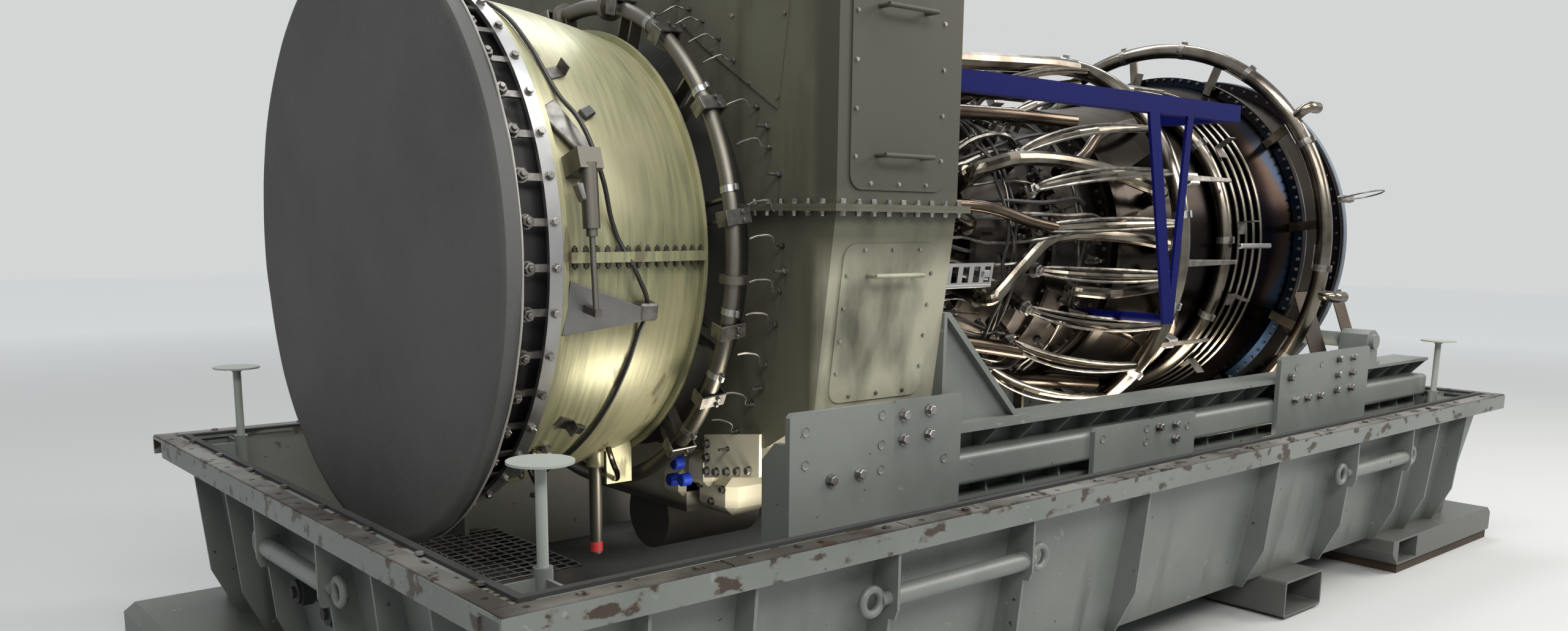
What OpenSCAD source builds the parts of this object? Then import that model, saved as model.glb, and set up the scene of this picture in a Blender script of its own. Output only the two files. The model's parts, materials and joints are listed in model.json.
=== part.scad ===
// Two-shaft industrial gas turbine, bolted on its steel transport base.
// X runs along the shaft from the inlet to the exhaust, Z is up and the floor is z = 0.
// The origin is the middle of the base, on the floor.

/* [Base] */
// Length of the base over its rim
base_l = 5540; // [5200:20:5900]
// Width of the base over its rim
base_w = 2720; // [2640:20:2860]
// Height of the rim's top face above the floor
rim_z = 770; // [730:10:820]
// Width of the rim's flat top
rim_w = 110; // [100:5:130]
// Height of the rim's outer lip
rim_lip = 65; // [45:5:90]
// Thickness of the rim angle, walls and ribs
wall_t = 10; // [8:1:14]
// How far the walls lean in from top to foot
wall_lean = 90; // [50:10:120]
// Height of the walls' lower edge above the floor
wall_foot_z = 165; // [150:5:190]
// Distance of a wall's upper edge from the rim's outer face
wall_inset = 85; // [75:5:95]
// Width of a wear strip on the rim
strip_w = 56; // [40:2:62]
// Thickness of a wear strip
strip_t = 6; // [4:1:10]
// Width of the rubber seal inside the wear strips
seal_w = 24; // [16:2:30]
// Thickness of the rubber seal
seal_t = 10; // [6:1:14]

/* [Skids and fork pockets] */
// Length of a skid along the base
skid_l = 1160; // [900:20:1300]
// How far a skid stands out past the rim's end
skid_out = 160; // [100:10:200]
// Width of a skid across the base
skid_w = 2600; // [2500:10:2640]
// Thickness of the timber under a skid
timber_t = 45; // [30:5:60]
// Outer width of a fork pocket
pocket_w = 315; // [280:5:340]
// Distance of a fork pocket's middle from the base's middle
pocket_x = 918; // [860:10:1000]
// Wall thickness of a fork pocket
pocket_t = 10; // [8:1:12]
// Clearance of a fork pocket above the floor
pocket_z = 10; // [6:1:20]

/* [Lashing points] */
// Outer diameter of a lashing tube
lash_d = 60; // [50:2:70]
// Height of the lashing tubes above the floor
lash_z = 570; // [520:10:600]
// Outer diameter of a lashing eye
eye_d = 94; // [88:1:104]
// Bar diameter of a lashing eye
eye_bar = 24; // [20:1:26]
// Length of a lashing eye's shank
eye_shank = 34; // [25:1:45]
// Diameter of a rubber bumper
bumper_d = 92; // [80:2:110]

/* [Corner posts] */
// Diameter of a post's disc
post_disc_d = 160; // [120:10:180]
// Diameter of a post
post_d = 28; // [22:1:36]
// Height of a post's disc above the floor
post_top_z = 1040; // [960:10:1100]
// Distance of a post from the rim's end
post_x_inset = 240; // [220:10:280]
// Gap from a support beam's outer face to a post's middle
post_gap = 60; // [50:5:70]

/* [Engine] */
// Height of the shaft above the floor
axis_z = 1490; // [1450:10:1540]
// Distance of the inlet cover's face from the rim's front edge
inlet_gap = 290; // [260:10:320]
// Radius of the inlet cover
cover_r = 874; // [860:2:890]
// Depth of the inlet cover's skirt
cover_depth = 50; // [40:5:60]
// Number of inlet guide vanes
vane_count = 42; // [36:1:48]
// Radius at which the guide vane levers lie
lever_r = 770; // [764:2:780]
// Thickness of a guide vane lever
lever_t = 6; // [4:1:8]
// Width of the unison ring along the shaft
ring_w = 40; // [34:2:46]
// Thickness of the unison ring
ring_t = 14; // [10:1:18]
// Radius of the low pressure case at its front
lp_front_r = 752; // [744:2:756]
// Radius of the low pressure case at its rear
lp_rear_r = 675; // [660:5:690]
// Centre radius of the bleed manifold
bleed_r = 775; // [765:5:790]
// Tube diameter of the bleed manifold
bleed_d = 50; // [40:2:56]

/* [Collector box] */
// Length of the collector box along the shaft
box_l = 500; // [460:10:540]
// Width of the collector box
box_w = 2120; // [2060:20:2140]
// Height of the box's split flange above the shaft
box_split = 140; // [100:10:180]
// Height of the box's top above the shaft
box_top = 1060; // [960:20:1160]
// Depth of the box's bottom below the shaft
box_bottom = 650; // [600:10:680]
// How far a side of the box leans in at its foot
box_taper = 80; // [50:10:100]
// Width of the box's flanges
box_flange = 30; // [24:2:40]
// Thickness of an access panel
panel_t = 5; // [3:1:8]

/* [Core and turbine] */
// Radius of the high pressure compressor case at its rear
core_r = 360; // [340:10:380]
// Radius of the combustor case
comb_r = 520; // [500:10:540]
// Number of fuel nozzles
nozzle_count = 24; // [20:1:30]
// Centre radius of the fuel manifold
fuel_r = 800; // [780:4:820]
// Tube diameter of the fuel manifold
fuel_d = 70; // [56:2:76]
// Diameter of a fuel tube
fuel_tube_d = 28; // [20:2:32]
// Radius of the turbine case at its rear flange
turbine_r = 790; // [770:5:800]
// Centre radius of the rear manifold
rear_ring_r = 945; // [930:5:960]
// Tube diameter of the rear manifold
rear_ring_d = 68; // [56:2:76]
// Number of bolts round the exhaust flange
exhaust_bolts = 24; // [20:2:36]

/* [Support frame] */
// Where the support plates stand between the tub's wall (0) and the box's side (1)
plate_share = 0.55; // [0.45:0.01:0.6]
// Height of a support beam's top above the floor
beam_z = 945; // [920:5:970]
// Height of a support beam
beam_h = 250; // [220:10:280]
// Width of a support beam
beam_w = 170; // [140:10:190]
// Height of the front support plates' top above the floor
front_plate_z = 1065; // [1040:5:1100]
// Height of the rear support plates' top above the floor
rear_plate_z = 1045; // [1010:5:1080]
// Thickness of the support plates
plate_t = 20; // [14:2:26]

/* [Hidden] */
$fn = 48;

// Clearance between pieces that seat on each other
seat = 0.3;

front_x = -base_l / 2;
half_w = base_w / 2;
inlet_x = front_x + inlet_gap;
wall_top_z = rim_z - wall_t;
floor_top = wall_foot_z + wall_t;

base_grey = "#6d736f";
floor_grey = "#3c3f3d";
box_olive = "#63645a";
stainless = "#9a9184";
cream = "#cfc9b8";

// Engine stations along the shaft, measured from the inlet cover's face
vane_s = 110;
ring_s = 171;
lp_front_s = 222;
lp_rear_s = 750;
bleed_s = 784;
box_front_s = 920;
box_rear_s = box_front_s + box_l;
core_rear_s = 2250;
comb_full_s = 2500;
comb_rear_s = 2950;
nozzle_s = 2430;
fuel_s = 3110;
second_ring_s = 3630;
turbine_rear_s = 4120;
rear_ring_s = 4050;
frame_rear_s = 4480;
cover_rear_s = 4560;

box_half = box_w / 2;
split_z = axis_z + box_split;
box_top_z = axis_z + box_top;
box_foot_z = axis_z - box_bottom;
box_knee_z = axis_z - 460;
box_x = inlet_x + box_front_s;
flange_t = 10;

// Half width of the lower box at height z, between its split and its knee
function box_side(z) = box_half - box_taper * (split_z - z) / (split_z - box_knee_z);

// Places its children on the shaft, with Z turned along the shaft
module on_shaft(s) {
    translate([inlet_x + s, 0, axis_z])
        rotate([0, 90, 0])
            children();
}

// A round drum on the shaft from one station to another
module drum(s0, s1, r) {
    on_shaft(s0)
        cylinder(r = r, h = s1 - s0, $fn = 96);
}

// A turned body on the shaft, through points of station and radius
module turned(profile) {
    last = len(profile) - 1;
    on_shaft(0)
        rotate_extrude($fn = 96)
            polygon(concat(
                [[0, profile[0][0]]],
                [for (p = profile) [p[1], p[0]]],
                [[0, profile[last][0]]]));
}

// A round tube bent to a ring around the shaft
module ring_tube(s, r, d) {
    on_shaft(s)
        rotate_extrude($fn = 96)
            translate([r, 0])
                circle(d = d, $fn = 24);
}

// A flat band around the shaft
module band(s0, s1, r_in, r_out) {
    on_shaft(s0)
        rotate_extrude($fn = 96)
            translate([r_in, 0])
                square([r_out - r_in, s1 - s0]);
}

// Turns its children about the shaft, angle 0 at the near side and 90 on top
module at_angle(a) {
    translate([0, 0, axis_z])
        rotate([90 - a, 0, 0])
            translate([0, 0, -axis_z])
                children();
}

// Repeats its children about the shaft
module around(count, first = 0) {
    for (i = [0 : count - 1])
        at_angle(first + i * 360 / count)
            children();
}

// Its children and their mirror image on the far side
module both_sides() {
    children();
    mirror([0, 1, 0])
        children();
}

// Its children and their mirror image at the other end
module both_ends() {
    children();
    mirror([1, 0, 0])
        children();
}

// A section across the base, drawn in Y and Z, run from x0 to x1
module along_x(x0, x1) {
    translate([x0, 0, 0])
        rotate([90, 0, 90])
            linear_extrude(x1 - x0)
                children();
}

// A section along the base, drawn in X and Z, run from y0 to y1
module along_y(y0, y1) {
    translate([0, y1, 0])
        rotate([90, 0, 0])
            linear_extrude(y1 - y0)
                children();
}

// A rectangle with round corners, its lower left corner at the origin
module round_rect(w, h, r) {
    translate([r, 0])
        square([w - 2 * r, h]);
    translate([0, r])
        square([w, h - 2 * r]);
    for (x = [r, w - r], y = [r, h - r])
        translate([x, y])
            circle(r = r);
}

// A point at station s, radius r and angle a about the shaft
function polar(s, r, a) = [inlet_x + s, -r * cos(a), axis_z + r * sin(a)];

// A point on the stretch from b to c, which leaves along v and arrives along w
function stretch_point(b, c, v, w, t) = let (l = norm(c - b))
    b * (1 - 3 * t * t + 2 * t * t * t) + c * (3 * t * t - 2 * t * t * t)
    + l * v * (t - 2 * t * t + t * t * t) + l * w * (t * t * t - t * t);

// A smooth curve through points from direction v0 to v1, with steps points on each stretch
function smooth(p, v0, v1, steps) = let (
    last = len(p) - 1,
    dir = concat([v0], [for (i = [1 : 1 : last - 1]) unit(p[i + 1] - p[i - 1])], [v1]))
    [for (i = [0 : last - 1], k = [0 : steps - 1])
        stretch_point(p[i], p[i + 1], dir[i], dir[i + 1], k / steps),
    p[last]];

// A round pipe swept along a path: one ring of corners at each point
function unit(v) = v / norm(v);
function heading(path, i) = unit(path[min(i + 1, len(path) - 1)] - path[max(i - 1, 0)]);
function pipe_ring(path, i, r, sides, guide) = let (
    t = heading(path, i),
    u = unit(cross(t, guide)),
    w = cross(t, u))
    [for (k = [0 : sides - 1]) path[i] + r * (cos(k * 360 / sides) * u + sin(k * 360 / sides) * w)];

module pipe(path, d, sides = 10, guide = [0, 1, 0]) {
    rings = len(path);
    corners = [for (i = [0 : rings - 1]) each pipe_ring(path, i, d / 2, sides, guide)];
    skin = [for (i = [0 : rings - 2], k = [0 : sides - 1]) let (n = (k + 1) % sides) each [
        [i * sides + k, (i + 1) * sides + k, i * sides + n],
        [(i + 1) * sides + k, (i + 1) * sides + n, i * sides + n]]];
    ends = [[for (k = [0 : sides - 1]) k], [for (k = [sides - 1 : -1 : 0]) (rings - 1) * sides + k]];
    polyhedron(corners, concat(skin, ends));
}

// How far a wall's outer face lies from the rim's outer face at height z
function wall_offset(z) = wall_inset + wall_lean * (wall_top_z - z) / (wall_top_z - wall_foot_z);

// The rim angle's section, its outer corner at -half
module rim_section(half) {
    polygon([[-half, rim_z], [-half + rim_w, rim_z], [-half + rim_w, wall_top_z],
        [-half + wall_t, wall_top_z], [-half + wall_t, rim_z - rim_lip], [-half, rim_z - rim_lip]]);
}

// The leaning wall plate's section
module wall_section(half) {
    top = -half + wall_inset;
    foot = top + wall_lean;
    polygon([[top, wall_top_z], [top + wall_t, wall_top_z],
        [foot + wall_t, wall_foot_z], [foot, wall_foot_z]]);
}

// A stiffening rib's section: as deep as the rim, then cut away towards the foot
module rib_section(half) {
    outer = -half + 2 * wall_t;
    foot = -half + wall_offset(wall_foot_z);
    polygon([[outer, wall_top_z], [-half + wall_inset, wall_top_z], [foot, wall_foot_z],
        [foot - 35, wall_foot_z], [outer + 40, wall_foot_z + 170]]);
}

// The deeper upper rib that carries a lashing tube
module lash_rib_section(half) {
    outer = -half + wall_t;
    low = lash_z - lash_d;
    polygon([[outer, wall_top_z], [-half + wall_inset, wall_top_z], [-half + wall_offset(low), low],
        [outer + 12, low], [outer, low + 30]]);
}

// The tub's outline between its leaning walls
module tub_outline(half, margin) {
    top = half - wall_inset - margin;
    polygon([[-top, wall_top_z], [top, wall_top_z],
        [top - wall_lean, wall_foot_z], [-top + wall_lean, wall_foot_z]]);
}

lash_spans = [[-1570, -980], [1200, 1740]];
plain_ribs = [-2380, -2060, -330, 555, 2060, 2380];
end_span = 520;
end_ribs = [-950, -600, 600, 950];

// Half the tub's inner width at its foot, and the room left beside the collector box
wall_inner_y = half_w - wall_inset - wall_lean - wall_t;
plate_room = wall_inner_y - box_side(front_plate_z);
// Distance of a support beam's outer face from the shaft
frame_y = wall_inner_y - plate_share * plate_room - plate_t - seat;

// The posts stand outside the support beams, placed to the whole millimetre
post_x = base_l / 2 - post_x_inset;
post_y = round(frame_y) + post_gap;
socket_l = 125;
socket_foot = rim_z + 15 - socket_l;

// A corner post's socket, on a plate from the side wall and one to the end wall
module post_socket() {
    top = wall_top_z - seat;
    end_reach = post_x_inset - wall_offset(socket_foot) - wall_t - seat;
    side_reach = half_w - post_y - wall_offset(top) - wall_t / 2;
    difference() {
        union() {
            translate([-post_x, -post_y, socket_foot])
                cylinder(d = post_d + 20, h = socket_l);
            translate([-post_x - wall_t / 2, -post_y - side_reach, socket_foot])
                cube([wall_t, side_reach, top - socket_foot]);
            translate([-post_x - end_reach, -post_y - wall_t / 2, socket_foot])
                cube([end_reach, wall_t, top - socket_foot]);
        }
        translate([-post_x, -post_y, socket_foot + wall_t])
            cylinder(d = post_d + 2 * seat, h = socket_l);
    }
}

module rib_x(x) {
    along_x(x - wall_t / 2, x + wall_t / 2)
        children();
}

module side_frame() {
    along_x(-base_l / 2, base_l / 2)
        rim_section(half_w);
    intersection() {
        along_x(-base_l / 2, base_l / 2)
            wall_section(half_w);
        along_y(-half_w, 0)
            tub_outline(base_l / 2, 0);
    }
    for (x = concat(plain_ribs, lash_spans[0], lash_spans[1]))
        rib_x(x)
            rib_section(half_w);
    for (x = concat(lash_spans[0], lash_spans[1]))
        rib_x(x)
            lash_rib_section(half_w);
    both_ends()
        post_socket();
}

module end_frame() {
    along_y(-half_w + rim_w, half_w - rim_w)
        rim_section(base_l / 2);
    intersection() {
        along_y(-half_w, half_w)
            wall_section(base_l / 2);
        along_x(-base_l / 2, 0)
            tub_outline(half_w, wall_t);
    }
    for (y = concat(end_ribs, [-end_span / 2, end_span / 2]))
        along_y(y - wall_t / 2, y + wall_t / 2)
            rib_section(base_l / 2);
    for (y = [-end_span / 2, end_span / 2])
        along_y(y - wall_t / 2, y + wall_t / 2)
            lash_rib_section(base_l / 2);
}

module near_side() {
    color(base_grey)
        side_frame();
}

module far_side() {
    color(base_grey)
        mirror([0, 1, 0])
            side_frame();
}

module front_end() {
    color(base_grey)
        end_frame();
}

module rear_end() {
    color(base_grey)
        mirror([1, 0, 0])
            end_frame();
}

floor_half_l = base_l / 2 - wall_inset - wall_lean - wall_t;

module floor_pan() {
    color(floor_grey)
        translate([-floor_half_l, -wall_inner_y, wall_foot_z])
            cube([2 * floor_half_l, 2 * wall_inner_y, wall_t]);
}

strip_count = 9;
end_strips = 4;
strip_edge = 4;
strip_gap = 6;
strip_hole = 18;

// A wear strip with its bolt holes, from the origin along X
module wear_strip(length) {
    difference() {
        translate([strip_gap / 2, 0, 0])
            cube([length - strip_gap, strip_w, strip_t]);
        for (f = [0.12, 0.5, 0.88])
            translate([f * length, strip_w / 2, -1])
                cylinder(d = strip_hole, h = strip_t + 2);
    }
}

module wear_strips() {
    side_l = base_l / strip_count;
    end_l = (base_w - 2 * strip_edge - 2 * strip_w) / end_strips;
    color("#82817b") {
        both_sides()
            for (i = [0 : strip_count - 1])
                translate([front_x + i * side_l, -half_w + strip_edge, rim_z])
                    wear_strip(side_l);
        both_ends()
            for (i = [0 : end_strips - 1])
                translate([front_x + strip_edge + strip_w, -half_w + strip_edge + strip_w + i * end_l, rim_z])
                    rotate([0, 0, 90])
                        wear_strip(end_l);
    }
}

module rim_seal() {
    inset = rim_w - seal_w - 4;
    color("#1d1d1d")
        difference() {
            translate([front_x + inset, -half_w + inset, rim_z])
                cube([base_l - 2 * inset, base_w - 2 * inset, seal_t]);
            translate([front_x + inset + seal_w, -half_w + inset + seal_w, rim_z - 1])
                cube([base_l - 2 * inset - 2 * seal_w, base_w - 2 * inset - 2 * seal_w, seal_t + 2]);
        }
}

skid_x = base_l / 2 + skid_out;
skid_recess = 90;

// A skid under the front end: a plate box, open at both sides, with a sloped nose
module skid() {
    difference() {
        along_y(-skid_w / 2, skid_w / 2)
            polygon([[-skid_x, timber_t], [-skid_x + skid_l - 60, timber_t],
                [-skid_x + skid_l, timber_t + 60], [-skid_x + skid_l, wall_foot_z],
                [-skid_x + 40, wall_foot_z], [-skid_x, wall_foot_z - 30]]);
        both_sides()
            translate([-skid_x + skid_l - 260, -skid_w / 2 - 1, timber_t + wall_t])
                cube([200, skid_recess, wall_foot_z - timber_t - 2 * wall_t]);
    }
}

module end_skids() {
    color(base_grey)
        both_ends()
            skid();
}

module skid_timbers() {
    color("#5a4632")
        both_ends()
            translate([-skid_x + 10, -skid_w / 2 + 10, 0])
                cube([skid_l - 90, skid_w - 20, timber_t]);
}

// Half the length of a fork pocket across the base
pocket_half = half_w - 60;
pocket_h = wall_foot_z - pocket_z;

module fork_pockets() {
    color(base_grey)
        for (side = [-1, 1])
            along_y(-pocket_half, pocket_half)
                translate([side * pocket_x - pocket_w / 2, pocket_z])
                    difference() {
                        round_rect(pocket_w, pocket_h, 16);
                        translate([pocket_t, pocket_t])
                            round_rect(pocket_w - 2 * pocket_t, pocket_h - 2 * pocket_t, 8);
                    }
}

lash_y = half_w - 45;
lash_x = base_l / 2 - 45;

module lashing_tubes() {
    color(base_grey) {
        both_sides()
            for (span = lash_spans)
                translate([span[0] + wall_t / 2, -lash_y, lash_z])
                    rotate([0, 90, 0])
                        cylinder(d = lash_d, h = span[1] - span[0] - wall_t);
        both_ends()
            translate([-lash_x, -end_span / 2 + wall_t / 2, lash_z])
                rotate([-90, 0, 0])
                    cylinder(d = lash_d, h = end_span - wall_t);
    }
}

// A forged eye on its shank, pointing along -X from a rib's face at the origin
module lashing_eye() {
    rotate([0, -90, 0])
        cylinder(d = eye_bar + 14, h = eye_shank);
    translate([-eye_shank - eye_d / 2 + eye_bar / 2 + 4, 0, 0])
        rotate([90, 0, 0])
            rotate_extrude()
                translate([eye_d / 2 - eye_bar / 2, 0])
                    circle(d = eye_bar, $fn = 24);
}

module side_eyes() {
    for (span = lash_spans) {
        translate([span[0] - wall_t / 2, -lash_y, lash_z])
            lashing_eye();
        translate([span[1] + wall_t / 2, -lash_y, lash_z])
            rotate([0, 0, 180])
                lashing_eye();
    }
}

module near_eyes() {
    color(base_grey)
        side_eyes();
}

module far_eyes() {
    color(base_grey)
        mirror([0, 1, 0])
            side_eyes();
}

module end_eyes() {
    color(base_grey)
        both_ends()
            for (side = [-1, 1])
                translate([-lash_x, side * (end_span / 2 + wall_t / 2), lash_z])
                    rotate([0, 0, -90 * side])
                        lashing_eye();
}

bumper_y = 130;
bumper_z = 450;
bumper_l = 60;

module bumpers() {
    color("#2b2c2b")
        both_ends()
            for (side = [-1, 1])
                translate([front_x + wall_offset(bumper_z + bumper_d / 2) - seat, side * bumper_y, bumper_z])
                    rotate([0, -90, 0]) {
                        cylinder(d = bumper_d, h = bumper_l * 0.6);
                        cylinder(d = bumper_d - 16, h = bumper_l * 0.8);
                        cylinder(d = bumper_d * 0.4, h = bumper_l);
                    }
}

disc_t = 6;
neck_h = 14;

module corner_posts() {
    post_foot = socket_foot + wall_t + seat;
    color("#8d9490")
        both_ends()
            both_sides()
                translate([-post_x, -post_y, 0]) {
                    translate([0, 0, post_foot])
                        cylinder(d = post_d, h = post_top_z - disc_t - post_foot);
                    translate([0, 0, post_top_z - disc_t])
                        cylinder(d = post_disc_d, h = disc_t);
                    translate([0, 0, post_top_z - disc_t - neck_h])
                        cylinder(d1 = post_d, d2 = post_d + 2 * neck_h, h = neck_h);
                }
}

front_plate_x = inlet_x + 750;
front_plate_l = 420;
front_step_l = 310;
beam_x = front_plate_x + front_plate_l + front_step_l;
post_l = 120;
post_in = 45;
post_w = beam_w - 60;
post_steps = [150, 1060, 2250];
beam_end_gap = 190;
beam_end_x = base_l / 2 - beam_end_gap;
beam_t = 14;
beam_web = 115;
beam_tube = 105;
beam_tube_drop = 190;
beam_tube_z = beam_z - beam_tube_drop;
beam_ribs = 19;

// A ribbed support beam: top flange, web, round-cornered tube outside and short ribs
module beam() {
    y0 = -frame_y;
    rib_step = (beam_end_x - beam_x - wall_t) / (beam_ribs - 1);
    foot_z = beam_z - beam_h;
    along_x(beam_x, beam_end_x) {
        translate([y0, beam_z - beam_t])
            square([beam_w, beam_t]);
        translate([y0 + beam_web, foot_z])
            square([beam_t, beam_h]);
        translate([y0 + beam_w / 4, foot_z])
            square([beam_w * 0.75, beam_t]);
        translate([y0, beam_tube_z])
            round_rect(beam_tube, beam_tube, 18);
        translate([y0 + beam_tube / 2, beam_tube_z + beam_tube / 3])
            square([beam_web - beam_tube / 2 + 1, beam_tube / 3]);
    }
    for (i = [0 : beam_ribs - 1])
        along_x(beam_x + i * rib_step, beam_x + i * rib_step + wall_t)
            polygon([[y0 + 6, beam_z - beam_t], [y0 + beam_w - 6, beam_z - beam_t],
                [y0 + beam_w - 6, foot_z], [y0 + beam_w / 4, foot_z],
                [y0 + beam_tube / 2, beam_tube_z], [y0 + beam_tube * 0.7, beam_tube_z + beam_tube]]);
}

module near_beam() {
    color(base_grey)
        beam();
}

module far_beam() {
    color(base_grey)
        mirror([0, 1, 0])
            beam();
}

module beam_posts() {
    color(base_grey)
        both_sides()
            for (x = concat([for (step = post_steps) beam_x + step], [beam_end_x - post_l - post_steps[0]]))
                translate([x, -frame_y + post_in, floor_top])
                    cube([post_l, post_w, beam_z - beam_h - floor_top - seat]);
}

plate_y = -frame_y - plate_t - seat;
middle_step = 710;
middle_x = beam_x + middle_step;
middle_drop = 70;
middle_l = 380;
middle_step_l = 300;
rear_step = 2020;
rear_plate_x = beam_x + rear_step;
rear_plate_l = 460;
rear_step_l = 400;
plate_gap = 5;
flange_depth = 110;
edge_cut = 90;
plate_corner = 12;

// A support plate standing on the floor pan outside the beam, cut at its upper corners
module support_plate(x, length, top, thick) {
    x1 = x + length - plate_gap;
    translate([0, plate_y + plate_t, 0])
        rotate([90, 0, 0])
            linear_extrude(thick)
                polygon([[x, floor_top], [x1, floor_top], [x1, top - plate_corner],
                    [x1 - plate_corner, top], [x + plate_corner, top], [x, top - plate_corner]]);
}

module frame_plates() {
    color(base_grey)
        both_sides() {
            support_plate(front_plate_x, front_plate_l, front_plate_z, plate_t);
            translate([front_plate_x, plate_y + plate_t / 2, 0])
                rotate([90, 0, 90])
                    linear_extrude(plate_t)
                        polygon([[0, floor_top], [flange_depth, floor_top],
                            [flange_depth, front_plate_z - edge_cut - flange_depth / 2],
                            [flange_depth / 2, front_plate_z - edge_cut], [0, front_plate_z - edge_cut]]);
            support_plate(front_plate_x + front_plate_l, front_step_l, front_plate_z, plate_t * 0.6);
            support_plate(middle_x, middle_l, beam_z - middle_drop, plate_t);
            support_plate(middle_x + middle_l, middle_step_l, beam_z - middle_drop, plate_t * 0.6);
            support_plate(rear_plate_x, rear_plate_l, rear_plate_z, plate_t);
            support_plate(rear_plate_x + rear_plate_l, rear_step_l, rear_plate_z, plate_t * 0.6);
        }
}

gusset_x = inlet_x + box_rear_s + seat;
gusset_l = 390;
gusset_h = 370;
gusset_y = -frame_y + 24;
gusset_w = 70;
gusset_t = 14;

// A triangular mount bracket between a beam and the collector box's rear face
module mount_gusset() {
    z0 = beam_z + seat;
    slope = [[gusset_x, z0 + gusset_h], [gusset_x + gusset_t * 2, z0 + gusset_h],
        [gusset_x + gusset_l, z0 + gusset_t], [gusset_x + gusset_l - gusset_t * 2, z0 + gusset_t]];
    along_y(gusset_y + gusset_w / 2 - gusset_t / 2, gusset_y + gusset_w / 2 + gusset_t / 2)
        polygon([[gusset_x, z0], [gusset_x + gusset_l, z0], [gusset_x + gusset_l, z0 + gusset_t],
            [gusset_x + gusset_t, z0 + gusset_h], [gusset_x, z0 + gusset_h]]);
    along_y(gusset_y, gusset_y + gusset_w)
        polygon(slope);
    translate([gusset_x, gusset_y, z0])
        cube([gusset_t, gusset_w, gusset_h]);
    translate([gusset_x, -frame_y + 6, z0])
        cube([gusset_l + 40, beam_w - 12, gusset_t]);
}

module mount_gussets() {
    color(base_grey)
        both_sides()
            mount_gusset();
}

mount_s = 4420;
mount_drop = 430;
mount_x = inlet_x + mount_s;
mount_z = axis_z - mount_drop;
mount_pin_d = 70;
mount_half = 70;
mount_y = -frame_y + 10;
mount_w = 130;
mount_pin_reach = sqrt(pow(turbine_r, 2) - pow(axis_z - mount_z - mount_pin_d / 2, 2)) + 2 * seat;

module rear_mounts() {
    z0 = beam_z + seat;
    color(base_grey)
        both_sides() {
            translate([mount_x - mount_half - 30, mount_y, z0])
                cube([2 * mount_half + 60, mount_w, beam_t]);
            along_y(mount_y, mount_y + mount_w)
                polygon([[mount_x - mount_half, z0], [mount_x + mount_half, z0],
                    [mount_x + mount_pin_d * 0.75, mount_z + mount_pin_d / 2],
                    [mount_x + mount_pin_d * 0.3, mount_z + mount_pin_d * 0.75],
                    [mount_x - mount_pin_d * 0.3, mount_z + mount_pin_d * 0.75],
                    [mount_x - mount_pin_d * 0.75, mount_z + mount_pin_d / 2]]);
            translate([mount_x, mount_y - 20, mount_z])
                rotate([-90, 0, 0])
                    cylinder(d = mount_pin_d, h = -mount_y + 20 - mount_pin_reach);
        }
}

sheet_t = 5;
sheet_top_z = axis_z - 205;
sheet_foot_y = frame_y - beam_w + 20;
sheet_top_y = sqrt(pow(turbine_r, 2) - pow(axis_z - sheet_top_z, 2)) + seat;

// Heat shield sheets from the beams up to the turbine case, before and behind each mount
module heat_sheets() {
    clear = mount_half + 35;
    color("#4c4034")
        both_sides()
            for (span = [[mount_x - 260, mount_x - clear], [mount_x + clear, mount_x + 220]])
                along_x(span[0], span[1])
                    polygon([[-sheet_foot_y, beam_z + seat], [-sheet_foot_y + sheet_t, beam_z + seat],
                        [-sheet_top_y, sheet_top_z], [-sheet_top_y - sheet_t, sheet_top_z]]);
}

tray_l = 400;
tray_w = 700;
tray_h = 120;
tray_x = 510;
tray_gap = 185;

module mesh_tray() {
    color("#8a8a86")
        translate([inlet_x + tray_x, wall_inner_y - tray_gap - tray_w, floor_top + seat])
            difference() {
                cube([tray_l, tray_w, tray_h]);
                translate([sheet_t, sheet_t, sheet_t])
                    cube([tray_l - 2 * sheet_t, tray_w - 2 * sheet_t, tray_h]);
            }
}

module inlet_cover() {
    color("#555352")
        turned([[0, cover_r - 14], [5, cover_r - 4], [14, cover_r], [cover_depth, cover_r]]);
}

barrel_r = lp_front_r - 17;
case_flange_r = lever_r + 2;

module inlet_case() {
    s0 = cover_depth + seat;
    color("#1c1c1d")
        turned([[s0, cover_r - 24], [s0 + 12, cover_r - 24], [s0 + 12, barrel_r], [s0 + 16, barrel_r],
            [s0 + 16, lever_r + 30], [s0 + 22, lever_r + 30], [s0 + 22, barrel_r],
            [lp_front_s - 11, barrel_r], [lp_front_s - 11, case_flange_r], [lp_front_s, case_flange_r]]);
}

vane_first = 6.7;
bush_d = 36;
lever_w = 20;
nut_d = 22;
bush_top = lever_r + lever_t + 6;

// One guide vane's bush on the barrel, and its flat lever back to the unison ring
module vane_lever() {
    translate([inlet_x + vane_s, 0, axis_z]) {
        translate([0, 0, barrel_r + seat])
            cylinder(d = bush_d - 6, h = lever_r - barrel_r - seat + 1);
        translate([0, 0, lever_r])
            cylinder(d = bush_d, h = lever_t);
        translate([0, 0, lever_r])
            cylinder(d = nut_d, h = bush_top - lever_r, $fn = 24);
        translate([0, -lever_w / 2, lever_r])
            cube([ring_s + ring_w / 2 - vane_s, lever_w, lever_t]);
        translate([ring_s + ring_w / 2 - vane_s, 0, lever_r])
            cylinder(d = lever_w, h = lever_t, $fn = 24);
    }
}

module vane_levers() {
    color("#4a4845")
        around(vane_count, vane_first)
            vane_lever();
}

module unison_ring() {
    ring_in = lever_r + lever_t + seat;
    color("#aaaaad")
        band(ring_s, ring_s + ring_w, ring_in, ring_in + ring_t);
}

// Outer radius of the low pressure case at station s: it drops faster towards the rear
function lp_radius(s) = lp_front_r
    - (lp_front_r - lp_rear_r) * pow((s - lp_front_s) / (lp_rear_s - lp_front_s), 1.7);

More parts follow.
